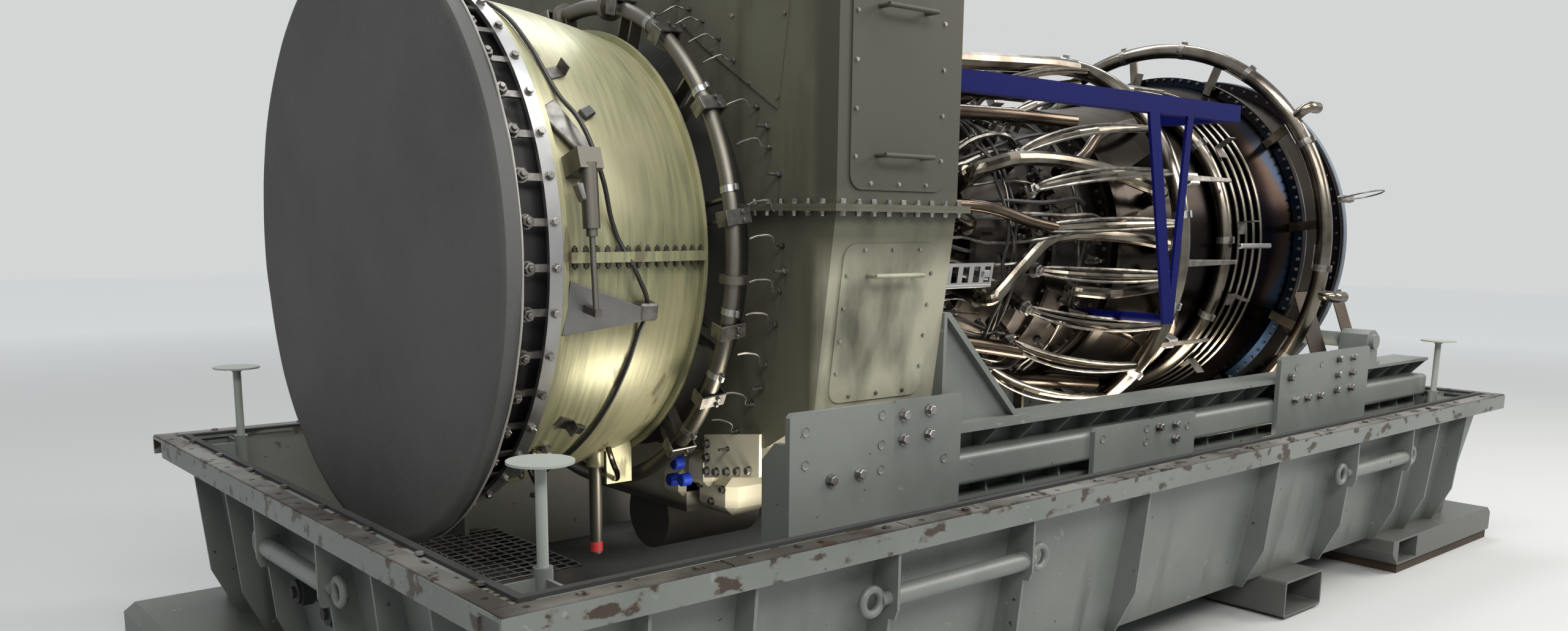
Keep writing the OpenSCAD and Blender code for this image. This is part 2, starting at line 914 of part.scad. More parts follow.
lp_flange_t = 16;
lp_neck_r = lp_rear_r - 40;
split_w = 34;
split_t = 28;
plate_drop = 310;
drain_s = lp_rear_s - 150;
drain_y = -300;
drain_d = 40;
drain_foot_z = 530;

module compressor_case() {
    s0 = lp_front_s + seat;
    stretch = lp_rear_s - lp_front_s - 2 * lp_flange_t;
    curve = [for (i = [0 : 10]) let (s = lp_front_s + lp_flange_t + i * stretch / 10) [s, lp_radius(s)]];
    color("#afac7d") {
        turned(concat([[s0, case_flange_r], [lp_front_s + lp_flange_t, case_flange_r]], curve,
            [[lp_rear_s - lp_flange_t, lp_rear_r + 24], [lp_rear_s, lp_rear_r + 24],
            [lp_rear_s, lp_neck_r], [box_front_s - 36, lp_neck_r],
            [box_front_s - 14 - seat, lp_rear_r], [box_front_s - seat, lp_rear_r]]));
        both_sides()
            translate([0, 0, axis_z - split_t / 2])
                linear_extrude(split_t)
                    polygon(concat([for (p = curve) [inlet_x + p[0], -p[1] - split_w]],
                        [for (s = [lp_rear_s - 1, lp_front_s + 1]) [inlet_x + s, -lp_rear_r + 60]]));
        translate([inlet_x + lp_rear_s - 110, -305, axis_z - lp_rear_r - plate_drop / 2 + 90])
            cube([95, 10, plate_drop]);
        translate([inlet_x + drain_s, drain_y, axis_z - lp_rear_r])
            cylinder(d = drain_d + 16, h = lp_rear_r / 2);
    }
}

bleed_legs = 12;
bleed_leg_t = 8;
bleed_leg_w = 40;
bleed_leg_y = 30;
bleed_foot = sqrt(pow(lp_neck_r + 2 * seat, 2) - pow(bleed_leg_y - bleed_leg_t / 2, 2));

module bleed_manifold() {
    color(stainless) {
        ring_tube(bleed_s, bleed_r, bleed_d);
        around(bleed_legs, 10)
            for (side = [-1, 1])
                translate([inlet_x + bleed_s, side * bleed_leg_y, axis_z + bleed_foot])
                    translate([-bleed_leg_w / 2, -bleed_leg_t / 2, 0])
                        cube([bleed_leg_w, bleed_leg_t, bleed_r - bleed_foot + 10]);
        for (a = [-5, 80, 100, 185])
            at_angle(a)
                translate([inlet_x + bleed_s, -12, axis_z + bleed_r])
                    rotate([-90, 0, 0])
                        cylinder(d = bleed_d + 34, h = 24);
    }
}

actuator_s = 295;
rod_lift = 48;

// The tangential actuator that turns the unison ring, between its two case brackets
module actuator() {
    r0 = lp_radius(actuator_s);
    at_angle(18)
        translate([inlet_x + actuator_s - 35, -28, axis_z + lp_radius(actuator_s - 35) + seat])
            cube([70, 56, 84]);
    at_angle(-10)
        translate([inlet_x + actuator_s - 10, 0, axis_z + lp_radius(actuator_s - 10) + seat]) {
            translate([0, -60, 0])
                cube([50, 100, 14]);
            translate([0, -10, 0])
                cube([20, 20, 84]);
        }
    at_angle(4)
        translate([inlet_x + actuator_s, 0, axis_z + r0 + rod_lift]) {
            translate([0, 20, 0])
                rotate([-90, 0, 0])
                    cylinder(d = 46, h = 170);
            translate([0, -200, 0])
                rotate([-90, 0, 0])
                    cylinder(d = 16, h = 225);
            rotate([-90, 0, 0])
                cylinder(d = 30, h = 30);
        }
}

module vane_actuators() {
    color("#b9b6ae")
        both_sides()
            actuator();
}

module box_upper() {
    color(box_olive) {
        translate([box_x, -box_half, split_z])
            cube([box_l, box_w, box_top_z - flange_t - split_z]);
        for (z = [split_z, box_top_z - 2 * flange_t, box_top_z - flange_t])
            let (w = z == box_top_z - flange_t ? box_flange - 4 : box_flange)
                translate([box_x - w, -box_half - w, z])
                    cube([box_l + 2 * w, box_w + 2 * w, flange_t]);
    }
}

module box_lower() {
    top = split_z - seat;
    color(box_olive) {
        along_x(box_x, box_x + box_l)
            polygon([[-box_side(top), top], [box_side(top), top], [box_side(box_knee_z), box_knee_z],
                [764, box_foot_z + 65], [510, box_foot_z + 16], [300, box_foot_z],
                [-300, box_foot_z], [-510, box_foot_z + 16], [-764, box_foot_z + 65],
                [-box_side(box_knee_z), box_knee_z]]);
        translate([box_x - box_flange, -box_half - box_flange, top - flange_t])
            cube([box_l + 2 * box_flange, box_w + 2 * box_flange, flange_t]);
    }
}

panel_x0 = box_x + 45;
panel_x1 = box_x + box_l - 67;
handle_d = 14;
handle_out = 42;
handle_l = 200;
panel_r = 45;
panel_h = 700;
box_lean = atan(box_taper / (split_z - box_knee_z));
// A front panel's corners: distance in from the box's side, height above the shaft
front_panel = [[206, 710], [254, 420], [606, 624], [733, 715]];

// A bail handle on a panel, with the panel's face at y = 0 and the handle towards -Y
module handle() {
    for (side = [-1, 1])
        translate([side * (handle_l - handle_d) / 2, 1, 0])
            rotate([90, 0, 0])
                cylinder(d = handle_d, h = handle_out + 1, $fn = 24);
    translate([-handle_l / 2, -handle_out, 0])
        rotate([0, 90, 0])
            cylinder(d = handle_d, h = handle_l, $fn = 24);
}

// An access panel with round corners, its back at y = 0 and its foot at z = 0
module panel(height) {
    along_y(-panel_t, 0)
        translate([panel_x0, 0])
            round_rect(panel_x1 - panel_x0, height, panel_r);
}

module box_panels() {
    side_y = -box_half - seat;
    low_z0 = box_knee_z + 35;
    low_z1 = split_z - 100;
    low_handle_z = split_z - 193;
    panel_mid = (panel_x0 + panel_x1) / 2;
    front_y = box_x - panel_t - seat;
    color("#6b6c62")
        both_sides() {
            translate([0, side_y, split_z + 50])
                panel(panel_h);
            for (z = [split_z + 146, split_z + 550])
                translate([panel_mid, side_y - panel_t, z])
                    handle();
            translate([0, -box_side(low_z0) - seat, low_z0])
                rotate([box_lean, 0, 0])
                    panel((low_z1 - low_z0) / cos(box_lean));
            translate([panel_mid, -box_side(low_handle_z) - seat - panel_t, low_handle_z])
                handle();
            along_x(front_y, front_y + panel_t)
                polygon([for (p = front_panel) [p[0] - box_half, axis_z + p[1]]]);
        }
}

gearbox_top = box_foot_z - seat;
gear_x = box_x + 40;
gear_l = 380;
gear_w = 600;
gear_h = 230;
// The housing across the gearbox, the one along its middle and the small one on each side of that
cross_x = box_x + 230;
cross_l = 700;
cross_d = 190;
cross_drop = 120;
drive_x = box_x + 90;
drive_l = 420;
drive_d = 250;
drive_drop = 300;
side_x = box_x + 300;
side_l = 210;
side_d = 150;
side_out = 190;
cream_strip_t = 10;
cream_strip = [[466, -76], [466, 66], [745, 106], [745, -28]];

module gearbox() {
    strip_x = box_x - cream_strip_t - seat;
    color(cream) {
        translate([gear_x, -gear_w / 2, gearbox_top - gear_h])
            cube([gear_l, gear_w, gear_h]);
        translate([cross_x, -cross_l / 2, gearbox_top - cross_drop])
            rotate([-90, 0, 0])
                cylinder(d = cross_d, h = cross_l);
        translate([drive_x, 0, gearbox_top - drive_drop])
            rotate([0, 90, 0])
                cylinder(d = drive_d, h = drive_l);
        for (y = [-side_out, side_out])
            translate([side_x, y, gearbox_top - cross_drop])
                rotate([0, 90, 0])
                    cylinder(d = side_d, h = side_l);
        both_sides()
            along_x(strip_x, strip_x + cream_strip_t)
                polygon([for (p = cream_strip) [-p[0], box_foot_z + p[1]]]);
    }
}

// Outer radius of the high pressure compressor case at station s
function core_radius(s) = core_r + 90 * pow(max(core_rear_s - s, 0) / (core_rear_s - box_rear_s), 1.4);

core_flanges = [1640, 1830, 2010, 2130];

// Seats on the cases where a pipe stands: station, angle, radius of the seat
core_seats = [[2150, -18, 560], [2120, 29, 560], [1900, -42, 480], [2190, 12, 430]];
comb_seats = [[2620, -14, 620]];
turbine_seats = [[3190, 1, 642], [3190, 20, 642], [3150, -13, 642]];
seat_d = 66;

// A round seat for a pipe, from inside a case out to its radius
module pipe_seat(p, r_in) {
    at_angle(p[1])
        translate([inlet_x + p[0], 0, axis_z + r_in])
            cylinder(d = seat_d, h = p[2] - r_in);
}

module core_case() {
    s0 = box_rear_s + seat;
    curve = [for (i = [0 : 10]) let (s = s0 + 22 + i * (core_rear_s - 40 - s0) / 10) [s, core_radius(s)]];
    color("#5d5a55") {
        turned(concat([[s0, core_r + 160], [s0 + 22, core_r + 160]], curve,
            [[core_rear_s - 16, core_r + 60], [core_rear_s, core_r + 60]]));
        for (s = core_flanges)
            drum(s, s + 18, core_radius(s) + 34);
        both_sides() {
            for (p = core_seats)
                pipe_seat(p, core_r - 40);
        }
    }
}

nozzle_seat_r = comb_r + 38;
nozzle_d = 56;
comb_front_r = core_r + 60;

module combustor_case() {
    s0 = core_rear_s + seat;
    color("#7b7266") {
        turned([[s0, comb_front_r], [s0 + 18, comb_front_r], [s0 + 18, comb_front_r - 30],
            [comb_full_s - 16, comb_r], [comb_full_s + 90, comb_r], [comb_full_s + 90, comb_r + 22],
            [comb_full_s + 116, comb_r + 22], [comb_full_s + 116, comb_r],
            [comb_rear_s - 24, comb_r + 6], [comb_rear_s - 24, comb_r + 56], [comb_rear_s, comb_r + 56]]);
        around(nozzle_count, 180 / nozzle_count)
            translate([inlet_x + nozzle_s, 0, axis_z + comb_front_r])
                cylinder(d = nozzle_d, h = nozzle_seat_r - comb_front_r);
        both_sides() {
            for (p = comb_seats)
                pipe_seat(p, comb_r - 40);
        }
    }
}

cover_rim_r = turbine_r + 40;

second_ring_d = 66;
second_seat_r = 661;

// The turbine case's outline: station and radius
turbine_profile = [[comb_rear_s + seat, 606], [comb_rear_s + 24, 606], [comb_rear_s + 24, 586],
    [3060, 600], [3310, 620], [second_ring_s - 50, second_seat_r], [second_ring_s + 34, second_seat_r],
    [second_ring_s + 50, turbine_r - 96], [turbine_rear_s - 40, turbine_r - 4],
    [turbine_rear_s - 30, turbine_r + 34], [turbine_rear_s, turbine_r + 34],
    [turbine_rear_s, turbine_r - 2], [frame_rear_s - 40, turbine_r],
    [frame_rear_s - 26, cover_rim_r], [frame_rear_s, cover_rim_r]];
// Outer radius of the turbine case on the cone before its rear flange
cone_s0 = second_ring_s + 50;
cone_s1 = turbine_rear_s - 40;
function cone_radius(s) = turbine_r - 96 + 92 * (s - cone_s0) / (cone_s1 - cone_s0);
cone_angle = atan(92 / (cone_s1 - cone_s0));

module turbine_case() {
    color("#5a4a4e") {
        turned(turbine_profile);
        both_sides() {
            for (p = turbine_seats)
                pipe_seat(p, 560);
        }
    }
}

module turbine_rings() {
    color(stainless) {
        ring_tube(second_ring_s, second_seat_r + second_ring_d / 2 + 2 * seat, second_ring_d);
        for (i = [0 : 3])
            let (s = cone_s0 + 36 + i * 46)
                ring_tube(s, cone_radius(s) + (8.5 + 2 * seat) / cos(cone_angle), 17);
        band(turbine_rear_s + 6, turbine_rear_s + 46, turbine_r + 3 * seat, turbine_r + 16);
    }
}

module fuel_manifold() {
    color(stainless) {
        ring_tube(fuel_s, fuel_r, fuel_d);
        around(6, 30)
            translate([inlet_x + fuel_s - 8, -25, axis_z + 604 + 4 * seat])
                cube([16, 50, fuel_r - 604 - fuel_d / 4]);
    }
}

tube_steps = 9;
tube_run = fuel_s - fuel_d / 2 - seat - nozzle_s;
tube_rise = fuel_r - nozzle_seat_r - seat;

// A fuel tube rises from its nozzle and bends back into the manifold
function fuel_point(a) = [inlet_x + nozzle_s + tube_run * (1 - cos(a)), 0,
    axis_z + nozzle_seat_r + seat + tube_rise * sin(a)];

module fuel_tubes() {
    color(stainless)
        around(nozzle_count, 180 / nozzle_count) {
            pipe([for (i = [0 : tube_steps]) fuel_point(i * 90 / tube_steps)], fuel_tube_d, 8);
            translate([inlet_x + nozzle_s, 0, axis_z + nozzle_seat_r + seat])
                cylinder(d = nozzle_d - 10, h = 26, $fn = 24);
        }
}

// A pipe's foot flange on its seat
foot_t = 14;
module pipe_foot(p) {
    at_angle(p[1])
        translate([inlet_x + p[0], 0, axis_z + p[2] + seat])
            cylinder(d = seat_d + 14, h = foot_t);
}

// A point on a foot's axis, at a height above the pipe's end on the foot
function foot_point(p, lift) = polar(p[0], p[2] + foot_t + 2 * seat + lift, p[1]);

// The direction away from the shaft at angle a
function radial(a) = [0, -cos(a), sin(a)];

// A pipe's end: straight up from its foot for stub, then round a bend until it points at q
stub = 8;
bend_ratio = 0.8;
bend_steps = 5;
function aim(p, v, q, r) = unit(q - p - r * v);
function bend(p, v, q, r) = let (w = aim(p, v, q, r), n = unit(w - (w * v) * v), turn = acos(w * v))
    [for (k = [0 : bend_steps])
        p + r * (sin(k * turn / bend_steps) * v + (1 - cos(k * turn / bend_steps)) * n)];
function foot_aim(p, q, d) = aim(foot_point(p, stub), radial(p[1]), q, bend_ratio * d);
function foot_bend(p, q, d) = concat([foot_point(p, 0)],
    bend(foot_point(p, stub), radial(p[1]), q, bend_ratio * d));

// All of a list but its last entry, and a list turned round
function but_last(list) = [for (i = [0 : len(list) - 2]) list[i]];
function turned_round(list) = [for (i = [len(list) - 1 : -1 : 0]) list[i]];
function final(list) = list[len(list) - 1];

// A smooth pipe through points, with a foot under its first and its last end
module footed_pipe(first, points, last, d) {
    head = foot_bend(first, points[0], d);
    tail = foot_bend(last, final(points), d);
    middle = smooth(concat([final(head)], points, [final(tail)]),
        foot_aim(first, points[0], d), -foot_aim(last, final(points), d), 3);
    pipe(concat(but_last(head), middle, turned_round(but_last(tail))), d, 10, [0, 0, 1]);
}

// A smooth pipe that leaves the collector box's rear face straight and ends on a foot
module box_pipe(start, points, last, d) {
    tail = foot_bend(last, final(points), d);
    middle = smooth(concat([start + [stub, 0, 0]], points, [final(tail)]),
        [1, 0, 0], -foot_aim(last, final(points), d), 3);
    pipe(concat([start], middle, turned_round(but_last(tail))), d, 10, [0, 0, 1]);
}

// A smooth pipe that starts and ends along the shaft
module shaft_pipe(start, points, stop, d) {
    middle = concat([start + [stub, 0, 0]], points, [stop - [stub, 0, 0]]);
    pipe(concat([start], smooth(middle, [1, 0, 0], [1, 0, 0], 3), [stop]), d, 10, [0, 0, 1]);
}

// Points beside the shaft, given along X, out from the shaft and up from it
function beside(points) = [for (p = points) [p[0], -p[1], axis_z + p[2]]];

// The pipe over the core that joins the fuel manifold: its distance out and its heights above the shaft
top_pipe_out = 250;
top_pipe_up = 710;
top_pipe_mid_up = 725;
top_pipe_end_up = 760;

module air_pipes() {
    box_rear_x = inlet_x + box_rear_s + seat;
    comb_x = inlet_x + comb_full_s;
    branch_x = inlet_x + fuel_s - fuel_d / 2 - 2 * seat;
    color(stainless) {
        both_sides() {
            for (p = concat(core_seats, comb_seats, turbine_seats))
                pipe_foot(p);
            footed_pipe(core_seats[0], beside([[comb_x - 170, 612, -50], [comb_x - 20, 628, 50],
                [comb_x + 340, 660, 56], [comb_x + 560, 690, 34]]), turbine_seats[0], 52);
            footed_pipe(core_seats[1], beside([[comb_x - 200, 570, 342], [comb_x + 100, 576, 344],
                [comb_x + 430, 610, 300], [comb_x + 570, 650, 260]]), turbine_seats[1], 58);
            footed_pipe(comb_seats[0], beside([[comb_x + 250, 700, -172], [comb_x + 480, 695, -165]]),
                turbine_seats[2], 45);
            box_pipe([box_rear_x, -380, axis_z - 490], beside([[box_rear_x + 230, 420, -470]]),
                core_seats[2], 50);
            box_pipe([box_rear_x, -500, axis_z + 170], beside([[box_rear_x + 400, 530, 200]]),
                core_seats[3], 45);
            shaft_pipe([box_rear_x, -top_pipe_out, axis_z + top_pipe_up],
                beside([[box_rear_x + 800, top_pipe_out, top_pipe_mid_up],
                    [branch_x - 180, top_pipe_out, top_pipe_end_up]]),
                [branch_x, -top_pipe_out, axis_z + top_pipe_end_up], fuel_d);
        }
        translate([inlet_x + drain_s, drain_y, drain_foot_z])
            cylinder(d = drain_d, h = axis_z - lp_rear_r - seat - drain_foot_z);
    }
}

// A round elbow: up, round a quarter bend and along X
module elbow(d, bend, up, out) {
    cylinder(d = d, h = up);
    translate([bend, 0, up])
        rotate([90, 0, 0])
            rotate([0, 0, 90])
                rotate_extrude(angle = 90)
                    translate([bend, 0])
                        circle(d = d, $fn = 24);
    translate([bend, 0, up + bend])
        rotate([0, 90, 0])
            cylinder(d = d, h = out);
}

ring_legs = 12;

module rear_manifold() {
    color(stainless) {
        ring_tube(rear_ring_s, rear_ring_r, rear_ring_d);
        around(ring_legs, 7)
            translate([inlet_x + rear_ring_s - 6, -20, axis_z + cone_radius(rear_ring_s + 6) + 2 * seat])
                cube([12, 40, rear_ring_r - cone_radius(rear_ring_s) - rear_ring_d / 4]);
        for (a = [38, -12, 142, 192])
            at_angle(a)
                translate([inlet_x + rear_ring_s, 0, axis_z + rear_ring_r])
                    elbow(50, 36, 50, 60);
    }
}

cover_bolt_r = 815;
cover_hole = 14;

module rear_cover() {
    s0 = frame_rear_s + seat;
    color("#55606a")
        difference() {
            turned([[s0, cover_rim_r + 5], [s0 + 30, cover_rim_r + 5], [s0 + 30, cover_rim_r - 50],
                [cover_rear_s, cover_rim_r - 80]]);
            around(exhaust_bolts, 0)
                translate([inlet_x + s0 - 1, 0, axis_z + cover_bolt_r])
                    rotate([0, 90, 0])
                        cylinder(d = cover_hole, h = 60, $fn = 24);
        }
}

bar_y = 950;
bar_z = axis_z + 510;
bar_h = 65;
bar_depth = 50;
bar_wall = 8;
bar_x = inlet_x + box_rear_s + seat;
bar_l = 1810;
leg_foot_z = axis_z - 280;
bar_foot_s = 2820;
bar_arm_l = 330;
strap_t = bar_wall + 4;
strut_d = 36;

// A channel with its open side towards the engine
module channel(length) {
    translate([0, -bar_y, bar_z])
        difference() {
            cube([length, bar_depth, bar_h]);
            translate([bar_wall, bar_wall, bar_wall])
                cube([length - 2 * bar_wall, bar_depth, bar_h - 2 * bar_wall]);
        }
}

// A leaning strap below the bar, w wide, from top_x down to foot_x
module strap(top_x, foot_x, w) {
    along_y(-bar_y, -bar_y + strap_t)
        polygon([[top_x, bar_z + 1], [top_x + w, bar_z + 1], [foot_x + w, leg_foot_z], [foot_x, leg_foot_z]]);
}

module rigging_bar() {
    foot_x = inlet_x + bar_foot_s;
    strut_end = sqrt(pow(comb_r + 6, 2) - pow(axis_z - leg_foot_z - 20, 2)) + 2 * seat;
    color("#1e2378") {
        translate([bar_x, 0, 0])
            channel(bar_l);
        translate([bar_x + bar_l - bar_h, -bar_y + 1, bar_z])
            cube([bar_h, bar_arm_l, bar_h]);
        strap(foot_x - 230, foot_x - 45, bar_h);
        strap(foot_x + 30, foot_x - 20, bar_h - 25);
        translate([foot_x - 12, -bar_y, leg_foot_z + 20])
            rotate([-90, 0, 0])
                cylinder(d = strut_d, h = bar_y - strut_end);
    }
}

near_side();
far_side();
front_end();
rear_end();
floor_pan();
wear_strips();
rim_seal();
end_skids();
skid_timbers();
fork_pockets();
lashing_tubes();
near_eyes();
far_eyes();
end_eyes();
bumpers();
corner_posts();
near_beam();
far_beam();
beam_posts();
frame_plates();
mount_gussets();
rear_mounts();
heat_sheets();
mesh_tray();
inlet_cover();
inlet_case();
vane_levers();
unison_ring();
compressor_case();
bleed_manifold();
vane_actuators();
box_upper();
box_lower();
box_panels();
gearbox();
core_case();
combustor_case();
fuel_manifold();
fuel_tubes();
air_pipes();
turbine_case();
turbine_rings();
rear_manifold();
rear_cover();
rigging_bar();
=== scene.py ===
import json
import math
import random

import bpy
from mathutils import Matrix, Vector


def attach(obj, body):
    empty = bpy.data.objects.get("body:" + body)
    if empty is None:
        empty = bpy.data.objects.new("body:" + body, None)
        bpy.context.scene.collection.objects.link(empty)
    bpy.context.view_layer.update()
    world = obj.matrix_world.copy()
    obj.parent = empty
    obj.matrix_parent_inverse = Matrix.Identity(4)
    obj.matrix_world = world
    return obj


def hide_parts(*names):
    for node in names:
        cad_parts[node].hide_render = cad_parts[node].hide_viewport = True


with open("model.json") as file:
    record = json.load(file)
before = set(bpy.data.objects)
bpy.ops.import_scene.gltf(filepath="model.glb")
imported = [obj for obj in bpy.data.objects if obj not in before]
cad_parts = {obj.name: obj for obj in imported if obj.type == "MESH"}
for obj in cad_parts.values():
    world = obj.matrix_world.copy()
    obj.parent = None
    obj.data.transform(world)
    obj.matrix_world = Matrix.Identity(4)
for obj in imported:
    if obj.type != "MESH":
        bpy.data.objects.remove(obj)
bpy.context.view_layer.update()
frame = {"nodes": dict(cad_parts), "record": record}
nodes = frame["nodes"]

# Lengths are in metres. A station s runs along the shaft from the inlet; an angle about the shaft is 0
# on the near side and 90 at the top.
BASE_L, BASE_W, RIM_Z = 5.54, 2.72, 0.77
AXIS_Z, INLET_X = 1.49, -2.48
VANE_COUNT, VANE_FIRST = 42, 6.7
RING_S, RING_R = 0.191, 0.7903
VANE_S, VANE_NUT_R = 0.11, 0.7815
LP_FRONT_S, LP_REAR_S = 0.222, 0.75
LP_FRONT_R, LP_REAR_R = 0.752, 0.675
SPLIT_HALF_T = 0.014
BLEED_S, BLEED_R, BLEED_TUBE_R = 0.784, 0.775, 0.025
BOX_FRONT_X, BOX_REAR_X = -1.56, -1.06
BOX_HALF, BOX_TAPER = 1.06, 0.08
BOX_SPLIT_Z, BOX_TOP_Z, BOX_KNEE_Z = 1.63, 2.55, 1.03
CORE_FLANGES = (1.64, 1.83, 2.01, 2.13)
CORE_REAR_S = 2.25
NOZZLES, NOZZLE_S, NOZZLE_R = 24, 2.43, 0.558
FUEL_S, FUEL_R, FUEL_TUBE_R = 3.11, 0.8, 0.035
SECOND_S, SECOND_R, SECOND_TUBE_R = 3.63, 0.695, 0.033
REAR_RING_S, REAR_RING_R, REAR_TUBE_R = 4.05, 0.945, 0.034
FLANGE_S, FRAME_REAR_S, FLANGE_BOLT_R = 4.09, 4.454, 0.812
PLATE_Y = 1.0703
FRONT, REAR, UP, DOWN = (-1, 0, 0), (1, 0, 0), (0, 0, 1), (0, 0, -1)
NEAR_FAR = (-1, 1)


# Finishes

BASE_GREY = (0.16, 0.174, 0.162)
BASE_DARK = (0.116, 0.128, 0.119)
RUST = (0.034, 0.02, 0.012)

coats = {}


def feed(tree, value, socket):
    """Gives a socket a number, a colour or another node's output."""
    if isinstance(value, tuple):
        socket.default_value = (*value, 1)
    elif isinstance(value, (int, float)):
        socket.default_value = value
    else:
        tree.links.new(value, socket)


def maths(tree, operation, *values):
    """A sum of numbers and other nodes' outputs."""
    node = tree.nodes.new("ShaderNodeMath")
    node.operation = operation
    for value, socket in zip(values, node.inputs):
        feed(tree, value, socket)
    return node.outputs["Value"]


class Coat:
    """A finish in the making: a colour with layers over it, and patterns in the object's own metres."""

    def __init__(self, name, colour, rough=0.5, metallic=0.0):
        self.name = name
        self.colour = colour
        self.material = bpy.data.materials.new(name)
        self.material.use_nodes = True
        self.tree = self.material.node_tree
        self.shader = self.tree.nodes["Principled BSDF"]
        self.place = self.node("TexCoord").outputs["Object"]
        self.set("Roughness", rough)
        self.set("Metallic", metallic)

    def node(self, kind):
        return self.tree.nodes.new("ShaderNode" + kind)

    def set(self, socket, value):
        """Sets one of the shader's sockets."""
        feed(self.tree, value, self.shader.inputs[socket])

    def noise(self, scale, detail=4, stretch=(1, 1, 1)):
        """A noise pattern, stretched along an axis if asked."""
        mapping = self.node("Mapping")
        mapping.inputs["Scale"].default_value = stretch
        feed(self.tree, self.place, mapping.inputs["Vector"])
        pattern = self.node("TexNoise")
        pattern.inputs["Scale"].default_value = scale
        pattern.inputs["Detail"].default_value = detail
        feed(self.tree, mapping.outputs["Vector"], pattern.inputs["Vector"])
        return pattern.outputs["Fac"]

    def along(self, axis):
        """How far along an axis a place lies."""
        split = self.node("SeparateXYZ")
        feed(self.tree, self.place, split.inputs["Vector"])
        return split.outputs[axis]

    def mask(self, value, low, high, start=0.0, end=1.0):
        """Goes from start to end while the value goes from low to high, and stays there beyond."""
        node = self.node("MapRange")
        for socket, limit in (("From Min", low), ("From Max", high), ("To Min", start), ("To Max", end)):
            node.inputs[socket].default_value = limit
        feed(self.tree, value, node.inputs["Value"])
        return node.outputs["Result"]

    def both(self, a, b):
        return maths(self.tree, "MULTIPLY", a, b)

    def past(self, axis, near, far):
        """A mask of what lies further than a distance from the middle, on either side."""
        return self.mask(maths(self.tree, "ABSOLUTE", self.along(axis)), near, far)

    def layer(self, mask, colour):
        """Lays a colour over the others where the mask is high."""
        node = self.node("Mix")
        node.data_type = "RGBA"
        colour_a, colour_b = node.inputs[6], node.inputs[7]
        feed(self.tree, mask, node.inputs["Factor"])
        feed(self.tree, self.colour, colour_a)
        feed(self.tree, colour, colour_b)
        self.colour = node.outputs[2]

    def bump(self, height, strength):
        node = self.node("Bump")
        node.inputs["Strength"].default_value = strength
        node.inputs["Distance"].default_value = 0.002
        feed(self.tree, height, node.inputs["Height"])
        self.set("Normal", node.outputs["Normal"])

    def keep(self):
        """Ends the finish and files it under its name."""
        self.set("Base Color", self.colour)
        coats[self.name] = self.material


def paint(name, colour, dark, rough=0.45, dirt=(0.52, 0.75), rust=None, metallic=0.0,
          grain=0.15, specular=0.5):
    """Paint, cloth or plastic with soft patches and, if asked, rust spots between two limits of a noise."""
    coat = Coat(name, colour, rough, metallic)
    coat.set("Specular IOR Level", specular)
    coat.layer(coat.mask(coat.noise(2.2, 6), *dirt), dark)
    if rust:
        coat.layer(coat.mask(coat.noise(13, 8, (1, 1, 0.45)), *rust), RUST)
    coat.bump(coat.noise(60, 3), grain)
    coat.keep()


def steel(name, colour, dark, rough=0.25, scale=5.0, metallic=1.0):
    """Bare metal with cloudy stains and an uneven shine."""
    coat = Coat(name, colour, metallic=metallic)
    coat.layer(coat.mask(coat.noise(scale, 6), 0.4, 0.68), dark)
    coat.set("Roughness", coat.mask(coat.noise(9, 5), 0, 1, rough * 0.75, rough * 1.5))
    coat.keep()


def base_coat():
    """The base's grey-green paint: dust, streaks down the walls, and rust where the rim is bare."""
    coat = Coat("base_paint", BASE_GREY, 0.42)
    height = coat.along("Z")
    coat.layer(coat.mask(coat.noise(1.7, 6), 0.42, 0.68), BASE_DARK)
    streaks = coat.mask(coat.noise(9, 5, (1, 1, 0.08)), 0.56, 0.72)
    coat.layer(coat.both(streaks, coat.mask(height, 0.75, 0.2)), (0.075, 0.078, 0.07))
    coat.layer(coat.mask(height, 0.26, 0.16), (0.088, 0.092, 0.084))
    coat.layer(coat.mask(coat.noise(26, 6), 0.695, 0.72), (0.2, 0.21, 0.195))
    rim = coat.mask(height, RIM_Z - 0.085, RIM_Z - 0.05)
    top = coat.mask(height, RIM_Z + 0.02, RIM_Z + 0.005)
    sides = coat.past("Y", BASE_W / 2 - 0.13, BASE_W / 2 - 0.12)
    ends = coat.past("X", BASE_L / 2 - 0.13, BASE_L / 2 - 0.12)
    edge = coat.both(coat.both(rim, top), maths(coat.tree, "MAXIMUM", sides, ends))
    flakes = coat.noise(17, 9, (0.6, 1, 1))
    coat.layer(coat.both(coat.mask(flakes, 0.55, 0.6), edge), (0.075, 0.066, 0.048))
    coat.layer(coat.both(coat.mask(flakes, 0.585, 0.6), edge), RUST)
    coat.layer(coat.mask(coat.noise(31, 7), 0.715, 0.73), RUST)
    coat.bump(coat.noise(55, 3), 0.16)
    coat.keep()


def case_coat():
    """The low pressure case: a pale green-gold film brushed round the shaft, black behind its rear edge."""
    coat = Coat("case_primer", (0.33, 0.318, 0.185), 0.38, 0.35)
    coat.layer(coat.mask(coat.noise(7, 6, (9, 0.7, 0.7)), 0.38, 0.66), (0.21, 0.212, 0.128))
    coat.layer(coat.mask(coat.noise(2.4, 5), 0.5, 0.7), (0.36, 0.34, 0.22))
    coat.layer(coat.mask(coat.noise(4.5, 8, (2.5, 1, 1)), 0.655, 0.70), (0.16, 0.14, 0.085))
    rear_x = INLET_X + LP_REAR_S
    coat.layer(coat.mask(coat.along("X"), rear_x - 0.004, rear_x), (0.02, 0.02, 0.018))
    coat.bump(coat.noise(12, 6, (9, 0.7, 0.7)), 0.2)
    coat.keep()


